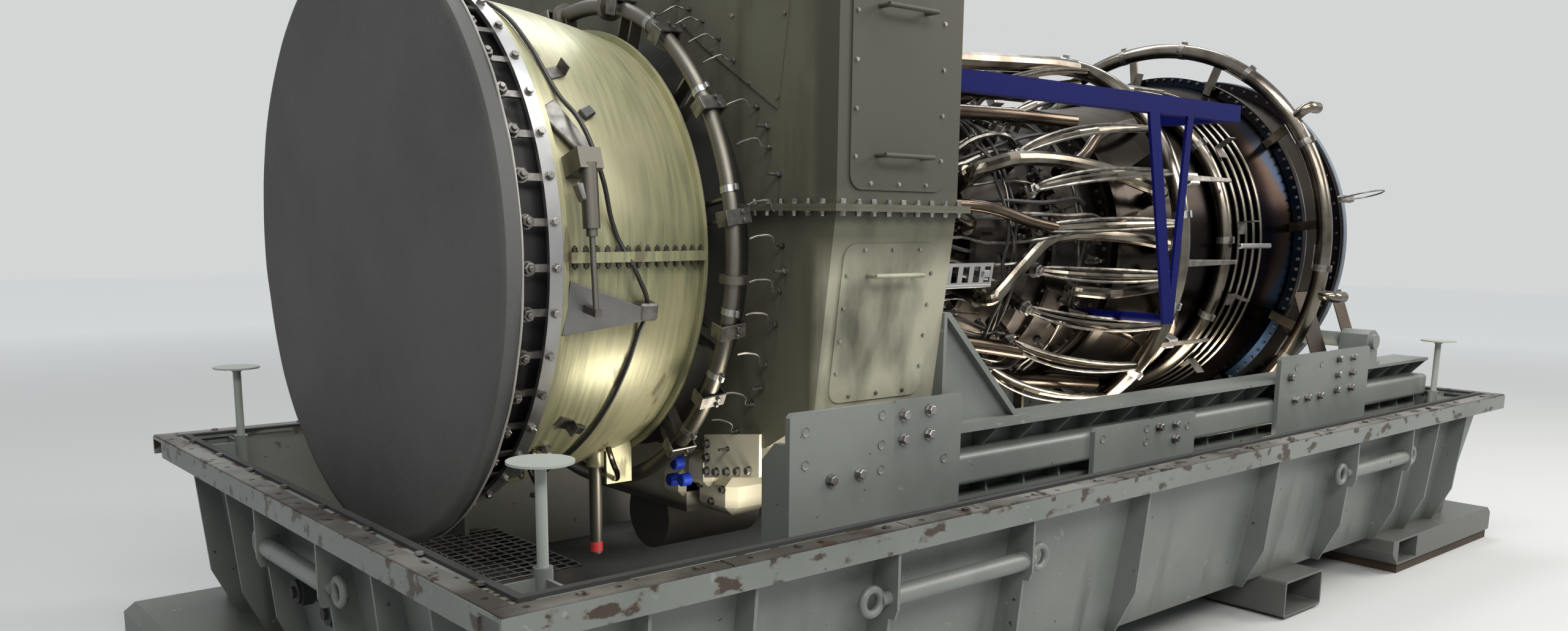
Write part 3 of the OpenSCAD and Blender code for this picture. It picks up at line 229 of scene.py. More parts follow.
def box_coat():
    """The collector box's olive coat with dull vertical streaks, painted shade on the upper parts of its
    sides, and rubbed patches low on its sides.
    """
    coat = Coat("box_paint", (0.085, 0.085, 0.062), 0.58)
    coat.set("Specular IOR Level", 0.3)
    coat.layer(coat.mask(coat.noise(2.0, 6), 0.4, 0.7), (0.104, 0.105, 0.077))
    coat.layer(coat.mask(coat.noise(7, 6, (1, 1, 0.12)), 0.53, 0.7), (0.06, 0.058, 0.041))
    coat.layer(coat.mask(coat.noise(4.2, 9, (1, 1, 0.5)), 0.62, 0.7), (0.10, 0.098, 0.075))
    height = coat.along("Z")
    sides = coat.past("Y", 0.955, 0.985)
    # painted shade: the sides above the split flange are painted darker than the front
    upper = coat.mask(height, BOX_SPLIT_Z - 0.02, BOX_SPLIT_Z + 0.06)
    coat.layer(coat.both(upper, sides), (0.052, 0.051, 0.039))
    lower = coat.mask(height, BOX_SPLIT_Z - 0.08, BOX_SPLIT_Z - 0.2)
    worn = coat.mask(coat.noise(5.5, 8, (1, 1, 0.4)), 0.34, 0.56)
    coat.layer(coat.both(coat.both(lower, sides), worn), (0.33, 0.32, 0.245))
    coat.bump(coat.noise(40, 4), 0.12)
    coat.keep()


def turbine_coat():
    """The turbine case: dark metal with blue, purple and gold bands that the heat left along the shaft."""
    coat = Coat("heat_tinted", None, 0.24, 1.0)
    coat.set("Specular Tint", (0.78, 0.74, 0.7))
    wobble = maths(coat.tree, "MULTIPLY_ADD", coat.noise(1.6, 5), 0.55, coat.along("X"))
    bands = coat.node("ValToRGB")
    feed(coat.tree, coat.mask(wobble, 0.75, 2.35), bands.inputs["Fac"])
    stops = bands.color_ramp.elements
    for i, (position, colour) in enumerate((
            (0.0, (0.03, 0.026, 0.023)), (0.28, (0.014, 0.012, 0.011)), (0.42, (0.007, 0.006, 0.008)),
            (0.50, (0.006, 0.014, 0.028)), (0.57, (0.009, 0.006, 0.009)), (0.62, (0.02, 0.012, 0.008)),
            (0.66, (0.006, 0.014, 0.028)), (0.74, (0.008, 0.007, 0.008)), (0.84, (0.013, 0.01, 0.008)),
            (1.0, (0.008, 0.008, 0.011)))):
        stop = stops[i] if i < 2 else stops.new(position)
        stop.position = position
        stop.color = (*colour, 1)
    coat.colour = bands.outputs["Color"]
    coat.keep()


def pipe_coat():
    """The pipes' bare steel, bright behind the box and dull on the bleed manifold before it."""
    coat = Coat("pipe_steel", (0.2, 0.178, 0.146), metallic=1.0)
    coat.layer(coat.mask(coat.noise(6, 6), 0.4, 0.68), (0.07, 0.058, 0.045))
    front = coat.mask(coat.along("X"), BOX_FRONT_X + 0.02, BOX_FRONT_X)
    coat.layer(front, (0.15, 0.14, 0.12))
    shine = coat.mask(coat.noise(9, 5), 0, 1, 0.14, 0.3)
    coat.set("Roughness", maths(coat.tree, "MULTIPLY_ADD", front, 0.24, shine))
    coat.keep()


def cast_coat():
    """The gearbox's cream castings, with painted shade that darkens them towards their foot."""
    coat = Coat("cast_housing", (0.56, 0.53, 0.42), 0.55)
    coat.layer(coat.mask(coat.noise(2.2, 6), 0.52, 0.75), (0.4, 0.37, 0.28))
    # painted shade: below z 0.69 the castings fade to near black
    coat.layer(coat.mask(coat.along("Z"), 0.69, 0.63), (0.03, 0.027, 0.022))
    coat.bump(coat.noise(60, 3), 0.15)
    coat.keep()


def finishes():
    """Every finish: first those of the CAD's slots, then those of the small pieces alone."""
    base_coat()
    case_coat()
    box_coat()
    turbine_coat()
    pipe_coat()
    cast_coat()
    paint("floor_paint", (0.05, 0.054, 0.05), (0.025, 0.026, 0.025), 0.5)
    paint("timber", (0.05, 0.034, 0.022), (0.02, 0.015, 0.011), 0.9, grain=0.8)
    paint("worn_steel", (0.17, 0.165, 0.15), (0.05, 0.045, 0.038), 0.5, (0.44, 0.6), (0.6, 0.64), 0.35)
    paint("rubber", (0.016, 0.016, 0.016), (0.03, 0.03, 0.028), 0.75)
    paint("post_paint", (0.28, 0.305, 0.28), (0.18, 0.2, 0.185), 0.5)
    paint("cover_fabric", (0.078, 0.078, 0.076), (0.058, 0.058, 0.057), 0.85, (0.42, 0.72), grain=0.5)
    paint("inlet_black", (0.014, 0.014, 0.015), (0.03, 0.03, 0.028), 0.45)
    paint("rear_paint", (0.085, 0.11, 0.14), (0.06, 0.075, 0.09), 0.5)
    paint("bar_blue", (0.002, 0.004, 0.07), (0.002, 0.003, 0.05), 0.55, specular=0.08)
    steel("tray_steel", (0.13, 0.127, 0.118), (0.07, 0.068, 0.062), 0.5, metallic=0.5)
    steel("lever_metal", (0.2, 0.19, 0.175), (0.09, 0.085, 0.08), 0.4, 30)
    steel("ring_aluminium", (0.39, 0.39, 0.385), (0.27, 0.27, 0.275), 0.35, 3)
    steel("core_metal", (0.062, 0.053, 0.046), (0.018, 0.015, 0.013), 0.38, 8)
    steel("bronze_sheet", (0.1, 0.075, 0.055), (0.05, 0.04, 0.035), 0.35, 3)

    steel("fastener", (0.33, 0.32, 0.30), (0.17, 0.16, 0.15), 0.35, 20)
    steel("dark_fastener", (0.11, 0.10, 0.09), (0.05, 0.045, 0.04), 0.45, 20)
    steel("worn_aluminium", (0.2, 0.2, 0.2), (0.13, 0.13, 0.128), 0.5, 6)
    steel("braided", (0.19, 0.18, 0.158), (0.075, 0.068, 0.06), 0.3, 30)
    steel("stained_pipe", (0.13, 0.1, 0.074), (0.04, 0.029, 0.023), 0.22, 5)
    paint("black_plastic", (0.012, 0.012, 0.012), (0.02, 0.02, 0.02), 0.4)
    paint("black_cable", (0.013, 0.012, 0.012), (0.022, 0.02, 0.018), 0.5)
    paint("red_plastic", (0.4, 0.03, 0.035), (0.3, 0.02, 0.03), 0.45)
    paint("blue_plastic", (0.005, 0.03, 0.33), (0.004, 0.02, 0.25), 0.45)
    paint("edge_cord", (0.34, 0.33, 0.3), (0.16, 0.155, 0.14), 0.8)


def dress_nodes():
    """Gives each CAD node the finish of its slot."""
    for part in frame["record"]["subparts"]:
        mesh = nodes[part["node"]].data
        mesh.materials.clear()
        mesh.materials.append(coats[part["material_slot"]])


# Modelling

def clear_selection():
    if bpy.context.object and bpy.context.object.mode != "OBJECT":
        bpy.ops.object.mode_set(mode="OBJECT")
    bpy.ops.object.select_all(action="DESELECT")


def pick(obj, test, what="FACE"):
    """Selects faces by a test on their middle and normal, or edges by one on their middle, for editing."""
    bpy.ops.object.mode_set(mode="EDIT")
    bpy.ops.mesh.select_mode(type=what)
    bpy.ops.mesh.select_all(action="DESELECT")
    bpy.ops.object.mode_set(mode="OBJECT")
    mesh = obj.data
    if what == "FACE":
        for face in mesh.polygons:
            face.select = test(face.center, face.normal)
    else:
        for edge in mesh.edges:
            a, b = (mesh.vertices[i].co for i in edge.vertices)
            edge.select = test((a + b) / 2, None)
    bpy.ops.object.mode_set(mode="EDIT")


def leave_editing():
    bpy.ops.object.mode_set(mode="OBJECT")


def apply_place():
    """Takes the active object's place, turn and scale into its mesh."""
    bpy.ops.object.transform_apply(location=True, rotation=True, scale=True)


def finished(obj, name, finish):
    """Names a piece, gives it its finish and slot, and puts it on the base."""
    obj.name = name
    obj.data.name = name
    obj.data.materials.clear()
    obj.data.materials.append(coats[finish])
    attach(obj, "root")
    return obj


def joined(parts):
    """Joins parts into one piece at the origin, with its place in its mesh."""
    clear_selection()
    for part in parts:
        part.select_set(True)
    bpy.context.view_layer.objects.active = parts[0]
    if len(parts) > 1:
        bpy.ops.object.join()
    apply_place()
    return bpy.context.object


def twin_of(source):
    """A copy of a part with its own mesh."""
    twin = source.copy()
    twin.data = source.data.copy()
    bpy.context.collection.objects.link(twin)
    return twin


def spread(source, places):
    """Copies a modelled part to each place and joins the copies."""
    twins = []
    for place in places:
        twin = twin_of(source)
        twin.matrix_world = place
        twins.append(twin)
    bpy.data.objects.remove(source)
    return joined(twins)


def cylinder(sides, radius, depth, middle=0.0):
    """A bar along Z with so many sides, its middle at a height."""
    bpy.ops.mesh.primitive_cylinder_add(vertices=sides, radius=radius, depth=depth, location=(0, 0, middle))
    return bpy.context.object


def inset_top(piece, thickness, depth):
    """Sets a smaller face into a bar's top, raised by the depth."""
    pick(piece, lambda middle, normal: normal.z > 0.9)
    bpy.ops.mesh.inset(thickness=thickness, depth=depth)
    leave_editing()


def bolt(width, height):
    """A hexagon head on its washer, with a raised, chamfered top; it stands on z = 0."""
    clear_selection()
    washer_h, head_h = height * 0.25, height * 0.75
    washer = cylinder(12, width * 0.62, washer_h, washer_h / 2)
    head = cylinder(6, width / 2, head_h, washer_h + head_h / 2)
    inset_top(head, width * 0.06, height * 0.07)
    return joined([washer, head])


def stud(width, height):
    """A nut on a stud whose end stands out of it."""
    nut = bolt(width, height)
    end = cylinder(8, width * 0.26, height * 0.6, height * 1.1)
    inset_top(end, width * 0.05, width * 0.04)
    return joined([nut, end])


def slab(length, width, height):
    """A plain plate that runs from the origin along X and lies on z = 0."""
    clear_selection()
    bpy.ops.mesh.primitive_cube_add(size=1, location=(length / 2, 0, height / 2))
    piece = bpy.context.object
    piece.scale = (length, width, height)
    apply_place()
    return piece


def block(length, width, height, edge=0.003, taper=1.0):
    """A slab with bevelled edges, narrowed at its far end if asked."""
    piece = slab(length, width, height)
    if taper != 1.0:
        pick(piece, lambda middle, normal: normal.x > 0.9)
        bpy.ops.transform.resize(value=(1, taper, 1))
        leave_editing()
    pick(piece, lambda middle, normal: True)
    bpy.ops.mesh.bevel(offset=edge, segments=1, affect="EDGES")
    leave_editing()
    return piece


def angle_bracket(length, width, leg, thickness=0.004):
    """A bent bracket: a foot on z = 0 with its leg turned up at the far end."""
    piece = slab(length, width, thickness)
    pick(piece, lambda middle, normal: normal.x > 0.9)
    bpy.ops.mesh.extrude_region_move(TRANSFORM_OT_translate={"value": (thickness, 0, 0)})
    leave_editing()
    pick(piece, lambda middle, normal: normal.z > 0.9 and middle.x > length)
    bpy.ops.mesh.extrude_region_move(TRANSFORM_OT_translate={"value": (0, 0, leg)})
    leave_editing()
    return piece


def band_clamp(radius, width, thickness=0.002):
    """A band round a tube along Z, with its bolted lug."""
    clear_selection()
    bpy.ops.mesh.primitive_cylinder_add(vertices=16, radius=radius, depth=width, end_fill_type="NOTHING")
    ring = bpy.context.object
    shell = ring.modifiers.new("shell", "SOLIDIFY")
    shell.thickness = thickness
    shell.offset = 1
    bpy.ops.object.modifier_apply(modifier="shell")
    lug = block(0.016, width, 0.012, 0.002)
    lug.rotation_euler = (math.radians(90), 0, 0)
    lug.location = (radius - 0.002, 0.006, 0)
    return joined([ring, lug])


def tube(points, radius, sides=2, steps=4):
    """A round tube through points, with smooth bends and closed ends."""
    curve = bpy.data.curves.new("tube", "CURVE")
    curve.dimensions = "3D"
    curve.bevel_depth = radius
    curve.bevel_resolution = sides
    curve.resolution_u = steps
    curve.use_fill_caps = True
    line = curve.splines.new("BEZIER")
    line.bezier_points.add(len(points) - 1)
    for knot, point in zip(line.bezier_points, points):
        knot.co = point
        knot.handle_left_type = knot.handle_right_type = "AUTO"
    obj = bpy.data.objects.new("tube", curve)
    bpy.context.collection.objects.link(obj)
    clear_selection()
    obj.select_set(True)
    bpy.context.view_layer.objects.active = obj
    bpy.ops.object.convert(target="MESH")
    bpy.ops.object.shade_smooth_by_angle(angle=math.radians(40))
    return bpy.context.object


def bundle(lines, name, finish, sides=2, steps=4):
    """Several tubes as one piece; each line is its points and its radius."""
    tubes = [tube(points, radius, sides, steps) for points, radius in lines]
    return finished(joined(tubes), name, finish)


# Places

def outward(angle):
    """The direction away from the shaft."""
    a = math.radians(angle)
    return Vector((0, -math.cos(a), math.sin(a)))


def on_engine(s, r, angle):
    """A point at a station, a radius and an angle about the shaft."""
    a = math.radians(angle)
    return Vector((INLET_X + s, -r * math.cos(a), AXIS_Z + r * math.sin(a)))


def on_side(side, angle):
    """The angle itself on the near side, and its twin on the far side."""
    return angle if side < 0 else 180 - angle


def both_angles(angles):
    """The angles, with their twins on the far side."""
    return list(angles) + [180 - a for a in angles]


def word_of(side):
    return "near" if side < 0 else "far"


def facing(place, direction, spin=0.0):
    """A place whose Z axis points along a direction."""
    turn = Vector(direction).to_track_quat("Z", "Y").to_matrix().to_4x4()
    return Matrix.Translation(place) @ turn @ Matrix.Rotation(spin, 4, "Z")


def turned_to(x, y, z):
    """The turn that brings the axes to three directions."""
    return Matrix((x, y, z)).transposed().to_4x4()


def along_shaft(s, r, angle, turn=0.0):
    """A place on the engine with its X axis rearward and its Z axis outward, then turned about Z."""
    out = outward(angle)
    rearward = Vector(REAR)
    axes = turned_to(rearward, out.cross(rearward), out)
    return Matrix.Translation(on_engine(s, r, angle)) @ axes @ Matrix.Rotation(math.radians(turn), 4, "Z")


def lp_radius(s):
    """Radius of the low pressure case at a station."""
    share = (s - LP_FRONT_S) / (LP_REAR_S - LP_FRONT_S)
    return LP_FRONT_R - (LP_FRONT_R - LP_REAR_R) * share ** 1.7


def core_radius(s):
    """Radius of the high pressure compressor case at a station."""
    return 0.36 + 0.09 * (max(CORE_REAR_S - s, 0) / 0.83) ** 1.4


def core_case_radius(s):
    """Radius of the core at a station, with the combustor case behind it."""
    if s < CORE_REAR_S:
        return core_radius(s)
    return 0.42 + 0.1 * min((s - CORE_REAR_S) / 0.25, 1)


def box_side(z):
    """Half width of the collector box at a height."""
    return BOX_HALF - BOX_TAPER * max(BOX_SPLIT_Z - z, 0) / (BOX_SPLIT_Z - BOX_KNEE_Z)


def copies_on_case(part, name, finish, s, r, angles, turn=0.0):
    """Copies of a part on the engine at each angle and at its far-side twin."""
    finished(spread(part, [along_shaft(s, r, a, turn) for a in both_angles(angles)]), name, finish)


# Bolts

def ring_of_bolts(name, source, s, r, count, outwards=False, finish="fastener", first=0.0):
    """Copies of a bolt round the shaft, with their heads forward or outward."""
    places = []
    for i in range(count):
        angle = first + i * 360 / count
        places.append(facing(on_engine(s, r, angle), outward(angle) if outwards else FRONT, i * 0.7))
    finished(spread(source, places), name, finish)


def engine_bolts():
    """Nuts and bolts on the inlet's ring and on the engine's flanges, and the inlet's edge."""
    nut_gap = 4.3
    ring_of_bolts("ring_bolts", bolt(0.021, 0.011), RING_S, RING_R, VANE_COUNT, True, first=VANE_FIRST)
    ring_of_bolts("inlet_small_nuts", stud(0.016, 0.014), 0.091, 0.735, VANE_COUNT, True,
                  first=VANE_FIRST + nut_gap)
    ring_of_bolts("vane_nuts", stud(0.033, 0.019), VANE_S, VANE_NUT_R, VANE_COUNT, True,
                  "lever_metal", VANE_FIRST)
    edge = [on_engine(0.069, 0.7995, i * 360 / 96) for i in range(97)]
    bundle([(edge, 0.0035)], "inlet_edge", "worn_aluminium", 1, 2)
    for s in CORE_FLANGES:
        ring_of_bolts("core_bolts_%d" % round(s * 100), bolt(0.013, 0.011), s, core_radius(s) + 0.022, 54,
                      finish="dark_fastener")
    for name, width, height, s, r, count in (
            ("combustor_mid_bolts", 0.012, 0.01, 2.59, 0.532, 60),
            ("combustor_rear_bolts", 0.014, 0.012, 2.926, 0.556, 72),
            ("turbine_flange_bolts", 0.014, 0.012, FLANGE_S, FLANGE_BOLT_R, 108),
            ("frame_rear_bolts", 0.014, 0.01, FRAME_REAR_S, FLANGE_BOLT_R, 72)):
        ring_of_bolts(name, bolt(width, height), s, r, count, finish="dark_fastener")


def split_flange_bolts():
    """Studs through the low pressure case's split flange, with nuts above and below."""
    first_s, step = 0.256, 0.0355
    places = []
    for side in NEAR_FAR:
        for i in range(14):
            s = first_s + i * step
            y = side * (lp_radius(s) + 0.02)
            for way in (1, -1):
                places.append(facing((INLET_X + s, y, AXIS_Z + way * SPLIT_HALF_T), (0, 0, way), i))
    finished(spread(stud(0.015, 0.012), places), "case_split_bolts", "dark_fastener")


def box_flange_bolts():
    """Bolts round the collector box's split and top flanges."""
    step, past_flange = 0.06, 0.68
    places = []
    line_x = [BOX_FRONT_X + 0.01 + i * step for i in range(9)]
    line_y = [-1.02 + i * step for i in range(35)]
    for way, z in ((1, BOX_SPLIT_Z + 0.01), (-1, BOX_SPLIT_Z - 0.0103)):
        for side in NEAR_FAR:
            for x in line_x:
                places.append(facing((x, side * (BOX_HALF + 0.015), z), (0, 0, way), x * 9))
        for x in (BOX_FRONT_X - 0.015, BOX_REAR_X + 0.015):
            for y in line_y:
                if abs(y) > past_flange:
                    places.append(facing((x, y, z), (0, 0, way), y * 9))
    for side in NEAR_FAR:
        for x in line_x:
            places.append(facing((x, side * (BOX_HALF + 0.013), BOX_TOP_Z - 0.02), DOWN, x * 9))
    finished(spread(bolt(0.017, 0.013), places), "box_flange_bolts", "fastener")


def panel_screws():
    """Flat-headed screws round the box's access panels, and a few on its front."""
    panel_front, panel_rear, inset, proud = -1.515, -1.127, 0.018, 0.0053
    end_gap, row_gap = 0.09, 0.08
    lower_lean = math.atan(BOX_TAPER / (BOX_SPLIT_Z - BOX_KNEE_Z))
    places = []

    def screw(x, side, z, lean):
        y = side * (box_side(z) + proud)
        places.append(facing((x, y, z), (0, side * math.cos(lean), -math.sin(lean))))

    for side in NEAR_FAR:
        for low, high, count, lean in ((1.68, 2.38, 5, 0), (1.065, 1.53, 4, lower_lean)):
            for i in range(count):
                z = low + end_gap + i * (high - low - 2 * end_gap) / (count - 1)
                for x in (panel_front + inset, panel_rear - inset):
                    screw(x, side, z, lean)
            for i in range(3):
                x = panel_front + row_gap + i * (panel_rear - panel_front - 2 * row_gap) / 2
                for z in (low + inset, high - inset):
                    screw(x, side, z, lean)
        for y, z in ((0.84, 2.17), (0.81, 1.94), (0.68, 1.99), (0.5, 2.1), (0.36, 2.185), (0.6, 2.19)):
            places.append(facing((BOX_FRONT_X - proud, side * y, z), FRONT))
    finished(spread(bolt(0.011, 0.005), places), "panel_screws", "fastener")


def plate_bolts():
    """Bolts and weld plugs on the support frame's plates.

    Each plate has its front end, length, top and inset, then its bolts and its plugs as shares of the
    length and drops from the top.
    """
    plates = (
        (-1.73, 0.415, 1.065, 0.0,
         ((0.374, 0.205), (0.65, 0.2)),
         ((0.14, 0.055), (0.14, 0.15), (0.87, 0.035), (0.87, 0.125), (0.87, 0.2))),
        (-1.31, 0.305, 1.065, 0.008,
         ((0.13, 0.045), (0.5, 0.04), (0.13, 0.12), (0.5, 0.115)),
         ((0.75, 0.2),)),
        (-0.29, 0.375, 0.875, 0.0,
         (),
         ((0.12, 0.04), (0.86, 0.03), (0.86, 0.08))),
        (0.09, 0.295, 0.875, 0.008,
         ((0.12, 0.035), (0.5, 0.035), (0.5, 0.09)),
         ((0.8, 0.05),)),
        (1.02, 0.455, 1.045, 0.0,
         ((0.18, 0.09), (0.3, 0.19), (0.55, 0.19), (0.8, 0.19)),
         ((0.3, 0.05), (0.8, 0.05))),
        (1.48, 0.395, 1.045, 0.008,
         ((0.2, 0.04), (0.55, 0.04), (0.2, 0.11), (0.55, 0.11), (0.2, 0.18), (0.55, 0.18)),
         ()),
    )
    bolts, plugs = [], []
    for x, length, top, inset, heads, welds in plates:
        for side in NEAR_FAR:
            y = side * (PLATE_Y - inset)
            for share, drop in heads:
                bolts.append(facing((x + share * length, y, top - drop), (0, side, 0), share * 5))
            for share, drop in welds:
                plugs.append(facing((x + share * length, y, top - drop), (0, side, 0)))
    finished(spread(bolt(0.03, 0.02), bolts), "frame_bolts", "fastener")
    clear_selection()
    plug = cylinder(16, 0.014, 0.006)
    pick(plug, lambda middle, normal: abs(normal.z) > 0.9)
    bpy.ops.mesh.inset(thickness=0.005, depth=-0.002)
    leave_editing()
    finished(spread(plug, plugs), "frame_weld_plugs", "base_paint")


def rim_bolts():
    """Low heads in the wear strips along the rim."""
    step, z = 0.32, RIM_Z + 0.006
    places = []
    for side in NEAR_FAR:
        for i in range(17):
            places.append(facing((-2.56 + i * step, side * 1.328, z), UP, i))
        for i in range(8):
            places.append(facing((side * 2.696, -1.12 + i * step, z), UP, i))
    finished(spread(bolt(0.022, 0.006), places), "rim_bolts", "worn_steel")


# Brackets and clamps

def engine_brackets():
    """Brackets on the cases, the manifolds and the rear ring."""
    copies_on_case(block(0.07, 0.05, 0.05, 0.004), "manifold_boxes", "ring_aluminium", 3.25, 0.742,
                   (22, -31, 62))
    copies_on_case(block(0.42, 0.03, 0.008, 0.002, 0.6), "manifold_straps", "lever_metal", 3.16, 0.785,
                   (22, -4, -31, 62))
    copies_on_case(angle_bracket(0.05, 0.06, 0.075), "second_ring_brackets", "lever_metal", 3.70, 0.735,
                   (33, -20, 5, 75, -48), 90)
    copies_on_case(block(0.26, 0.022, 0.022, 0.005), "ring_turnbuckles", "ring_aluminium", 3.62, 0.765,
                   (1, 52))
    copies_on_case(block(0.07, 0.11, 0.006, 0.002, 0.5), "rear_ring_saddles", "lever_metal", 4.01, 0.915,
                   (60, 34, -2, -29, -50))
    bracket_s, pad_s = 0.30, 0.36
    places = [along_shaft(bracket_s, lp_radius(bracket_s), a, turn)
              for a, turn in ((40, 20), (-38, -25), (140, 160), (218, 200))]
    finished(spread(angle_bracket(0.05, 0.036, 0.03), places), "case_brackets", "lever_metal")
    places = [along_shaft(pad_s, lp_radius(pad_s) - 0.002, a, turn)
              for a, turn in ((30, 30), (-41, -20), (150, 150), (221, 160))]
    finished(spread(block(0.045, 0.032, 0.014, 0.004), places), "case_pads", "black_plastic")


def bleed_saddles():
    """Dark saddles bolted over the bleed manifold."""
    width, thickness = 0.045, 0.007
    top = block(0.09, width, thickness, 0.002)
    top.location = (-0.045, 0, BLEED_TUBE_R + 0.001)
    parts = [top]
    for x in (-0.045, 0.038):
        leg = block(thickness, width, 0.05, 0.002)
        leg.location = (x, 0, -0.02)
        parts.append(leg)
    for y in (-0.012, 0.012):
        nut = bolt(0.013, 0.01)
        nut.location = (0.012, y, BLEED_TUBE_R + 0.0075)
        parts.append(nut)
    copies_on_case(joined(parts), "bleed_saddles", "lever_metal", BLEED_S, BLEED_R,
                   (56, 33, 8, -16, -33, -50, 75), 8)


def core_lugs():
    """Small brackets and unions among the tubes on the core and the combustor."""
    dice = random.Random(11)
    lugs, unions = [], []
    for i in range(120):
        s = dice.uniform(1.5, 2.88)
        angle = dice.uniform(-68, 72) + 180 * (i % 2)
        angle = 180 - angle if i % 2 else angle
        r = core_case_radius(s) + dice.uniform(0.0, 0.03)
        place = along_shaft(s, r, angle, dice.uniform(0, 360))
        (lugs if i % 3 else unions).append(place)
    finished(spread(angle_bracket(0.035, 0.022, 0.045, 0.003), lugs),
             "core_lugs", "dark_fastener")
    finished(spread(stud(0.03, 0.05), unions), "core_unions", "lever_metal")


def low_fittings():
    """Pipe unions and a bent drain under the low pressure case, alike on both sides."""
    for side in NEAR_FAR:
        lines = []
        for s, angle, run in ((0.25, -46, 0.035), (0.27, -52, 0.05), (0.60, -58, 0.06)):
            low = run + 0.02
            bends = ((0, 0.004, 0), (0, run, 0), (0.03, low, 3), (0.07, low, 9), (0.09, run, 14))
            points = [on_engine(s + step, lp_radius(s) + lift, on_side(side, angle - turn))
                      for step, lift, turn in bends]
            lines.append((points, 0.009))
        bundle(lines, "low_fittings_" + word_of(side), "stained_pipe", 2, 3)
    places = []
    for s in (0.25, 0.3):
        for angle in both_angles((-47, -54)):
            places.append(along_shaft(s, lp_radius(s) - 0.001, angle, 25))
    finished(spread(stud(0.028, 0.03), places), "low_nuts", "fastener")


def manifold_clamps():
    """Band clamps round the ring manifolds."""
    for name, s, ring_r, tube_r, angles, width, finish in (
            ("bleed", BLEED_S, BLEED_R, BLEED_TUBE_R, (62, 37, 14, -12, -27, -44), 0.02, "ring_aluminium"),
            ("fuel", FUEL_S, FUEL_R, FUEL_TUBE_R, (48, 10, -16, -40, 78), 0.03, "ring_aluminium"),
            ("second", SECOND_S, SECOND_R, SECOND_TUBE_R, (40, 3, -25, 70), 0.03, "lever_metal"),
            ("rear", REAR_RING_S, REAR_RING_R, REAR_TUBE_R, (57, 30, -5, -31, 80), 0.03, "lever_metal")):
        places = []
        for angle in both_angles(angles):
            a = math.radians(angle)
            out, tube_way = outward(angle), Vector((0, math.sin(a), math.cos(a)))
            axes = turned_to(out, tube_way.cross(out), tube_way)
            places.append(Matrix.Translation(on_engine(s, ring_r, angle)) @ axes)
        finished(spread(band_clamp(tube_r, width), places), name + "_clamps", finish)


def stator_levers():
    """Short lever rows on the high pressure compressor."""
    for s, count in ((1.70, 46), (1.765, 46), (1.89, 44), (1.95, 44), (2.07, 42)):
        places = [along_shaft(s, core_radius(s) - 0.002, i * 360 / count, 30) for i in range(count)]
        name = "stator_levers_%d" % round(s * 1000)
        finished(spread(block(0.035, 0.008, 0.024, 0.002, 0.6), places), name, "lever_metal")


def perforated_bracket():
    """The bracket with square holes that stands beside the core's front, alike on both sides."""
    length, width, cell = 0.30, 0.085, 0.06
    half_hole_x, half_hole_y = 0.017, 0.03

    def in_hole(middle, normal):
        from_cell = (middle.x + length / 2) % cell - cell / 2
        return abs(from_cell) < half_hole_x and abs(middle.y) < half_hole_y

    clear_selection()
    bpy.ops.mesh.primitive_grid_add(x_subdivisions=5, y_subdivisions=1, size=1)
    plate = bpy.context.object
    plate.scale = (length, width, 1)
    bpy.ops.object.transform_apply(location=False, rotation=False, scale=True)
    pick(plate, lambda middle, normal: True)
    bpy.ops.mesh.inset(thickness=0.013, use_individual=True)
    bpy.ops.mesh.subdivide(number_cuts=2, smoothness=0)
    leave_editing()
    pick(plate, in_hole)
    bpy.ops.mesh.delete(type="FACE")
    leave_editing()
    thick = plate.modifiers.new("thick", "SOLIDIFY")
    thick.thickness = 0.006
    bpy.ops.object.modifier_apply(modifier="thick")
    lip = block(length, 0.012, 0.03, 0.002)
    lip.location = (-length / 2, -0.043, -0.028)
    arm = block(0.06, 0.03, 0.2, 0.004)
    arm.location = (0.08, 0, -0.2)
    copies_on_case(joined([plate, lip, arm]), "perforated_brackets", "ring_aluminium", 1.99, 0.62, (-8,))


def box_clips():
    """Bent wire clips and long studs between the bleed manifold and the box's front."""
    wire = tube([(0.1225, 0, 0.04), (0.096, 0, 0.04), (0.09, 0.006, 0.04), (0.088, 0.024, 0.036),
                 (0.08, 0.03, 0.03), (0.064, 0.03, 0.018), (0.05, 0.028, 0.01), (0.03, 0.02, 0.002)],
                0.003, 1, 3)
    end = bolt(0.014, 0.012)
    end.rotation_euler = (0, math.radians(-90), 0)
    end.location = (0.1242, 0, 0.04)
    places = [along_shaft(BLEED_S + 0.012, BLEED_R + 0.02, angle)
              for angle in both_angles((63, 57, 50, 43, 31, 22, 9, 2, -7, -14, -23, -33, -41))]
    finished(spread(joined([wire, end]), places), "box_clips", "lever_metal")
    pin = tube([(0, 0, 0), (0, 0, 0.02), (0, 0, 0.046)], 0.005, 2, 2)
    head = bolt(0.018, 0.012)
    places = [facing(on_engine(0.9197, BLEED_R + 0.075, angle), FRONT)
              for angle in both_angles((68, 26, 16, -3, -28, -46))]
    finished(spread(joined([pin, head]), places), "box_studs", "fastener")


def actuator_fittings():
    """The actuator's dark upper bracket, its clevis, and the plate that reaches back under the flange."""
    arm_s, plate_s, fork_s, fork_seat_s = 0.245, 0.235, 0.272, 0.29
    for name, finish, part, s, r, angle, turn in (
            ("actuator_arms", "lever_metal", block(0.19, 0.075, 0.012, 0.003, 0.6),
             arm_s, lp_radius(arm_s) + 0.004, 31, 58),
            ("actuator_plates", "worn_aluminium", block(0.25, 0.15, 0.008, 0.002, 0.25),
             plate_s, lp_radius(plate_s) + 0.012, -10, 6),
            ("actuator_forks", "ring_aluminium", block(0.05, 0.03, 0.035, 0.005, 0.7),
             fork_s, lp_radius(fork_seat_s) + 0.03, 14, 80)):
        places = [along_shaft(s, r, angle, -turn), along_shaft(s, r, 180 - angle, turn)]
        finished(spread(part, places), name, finish)


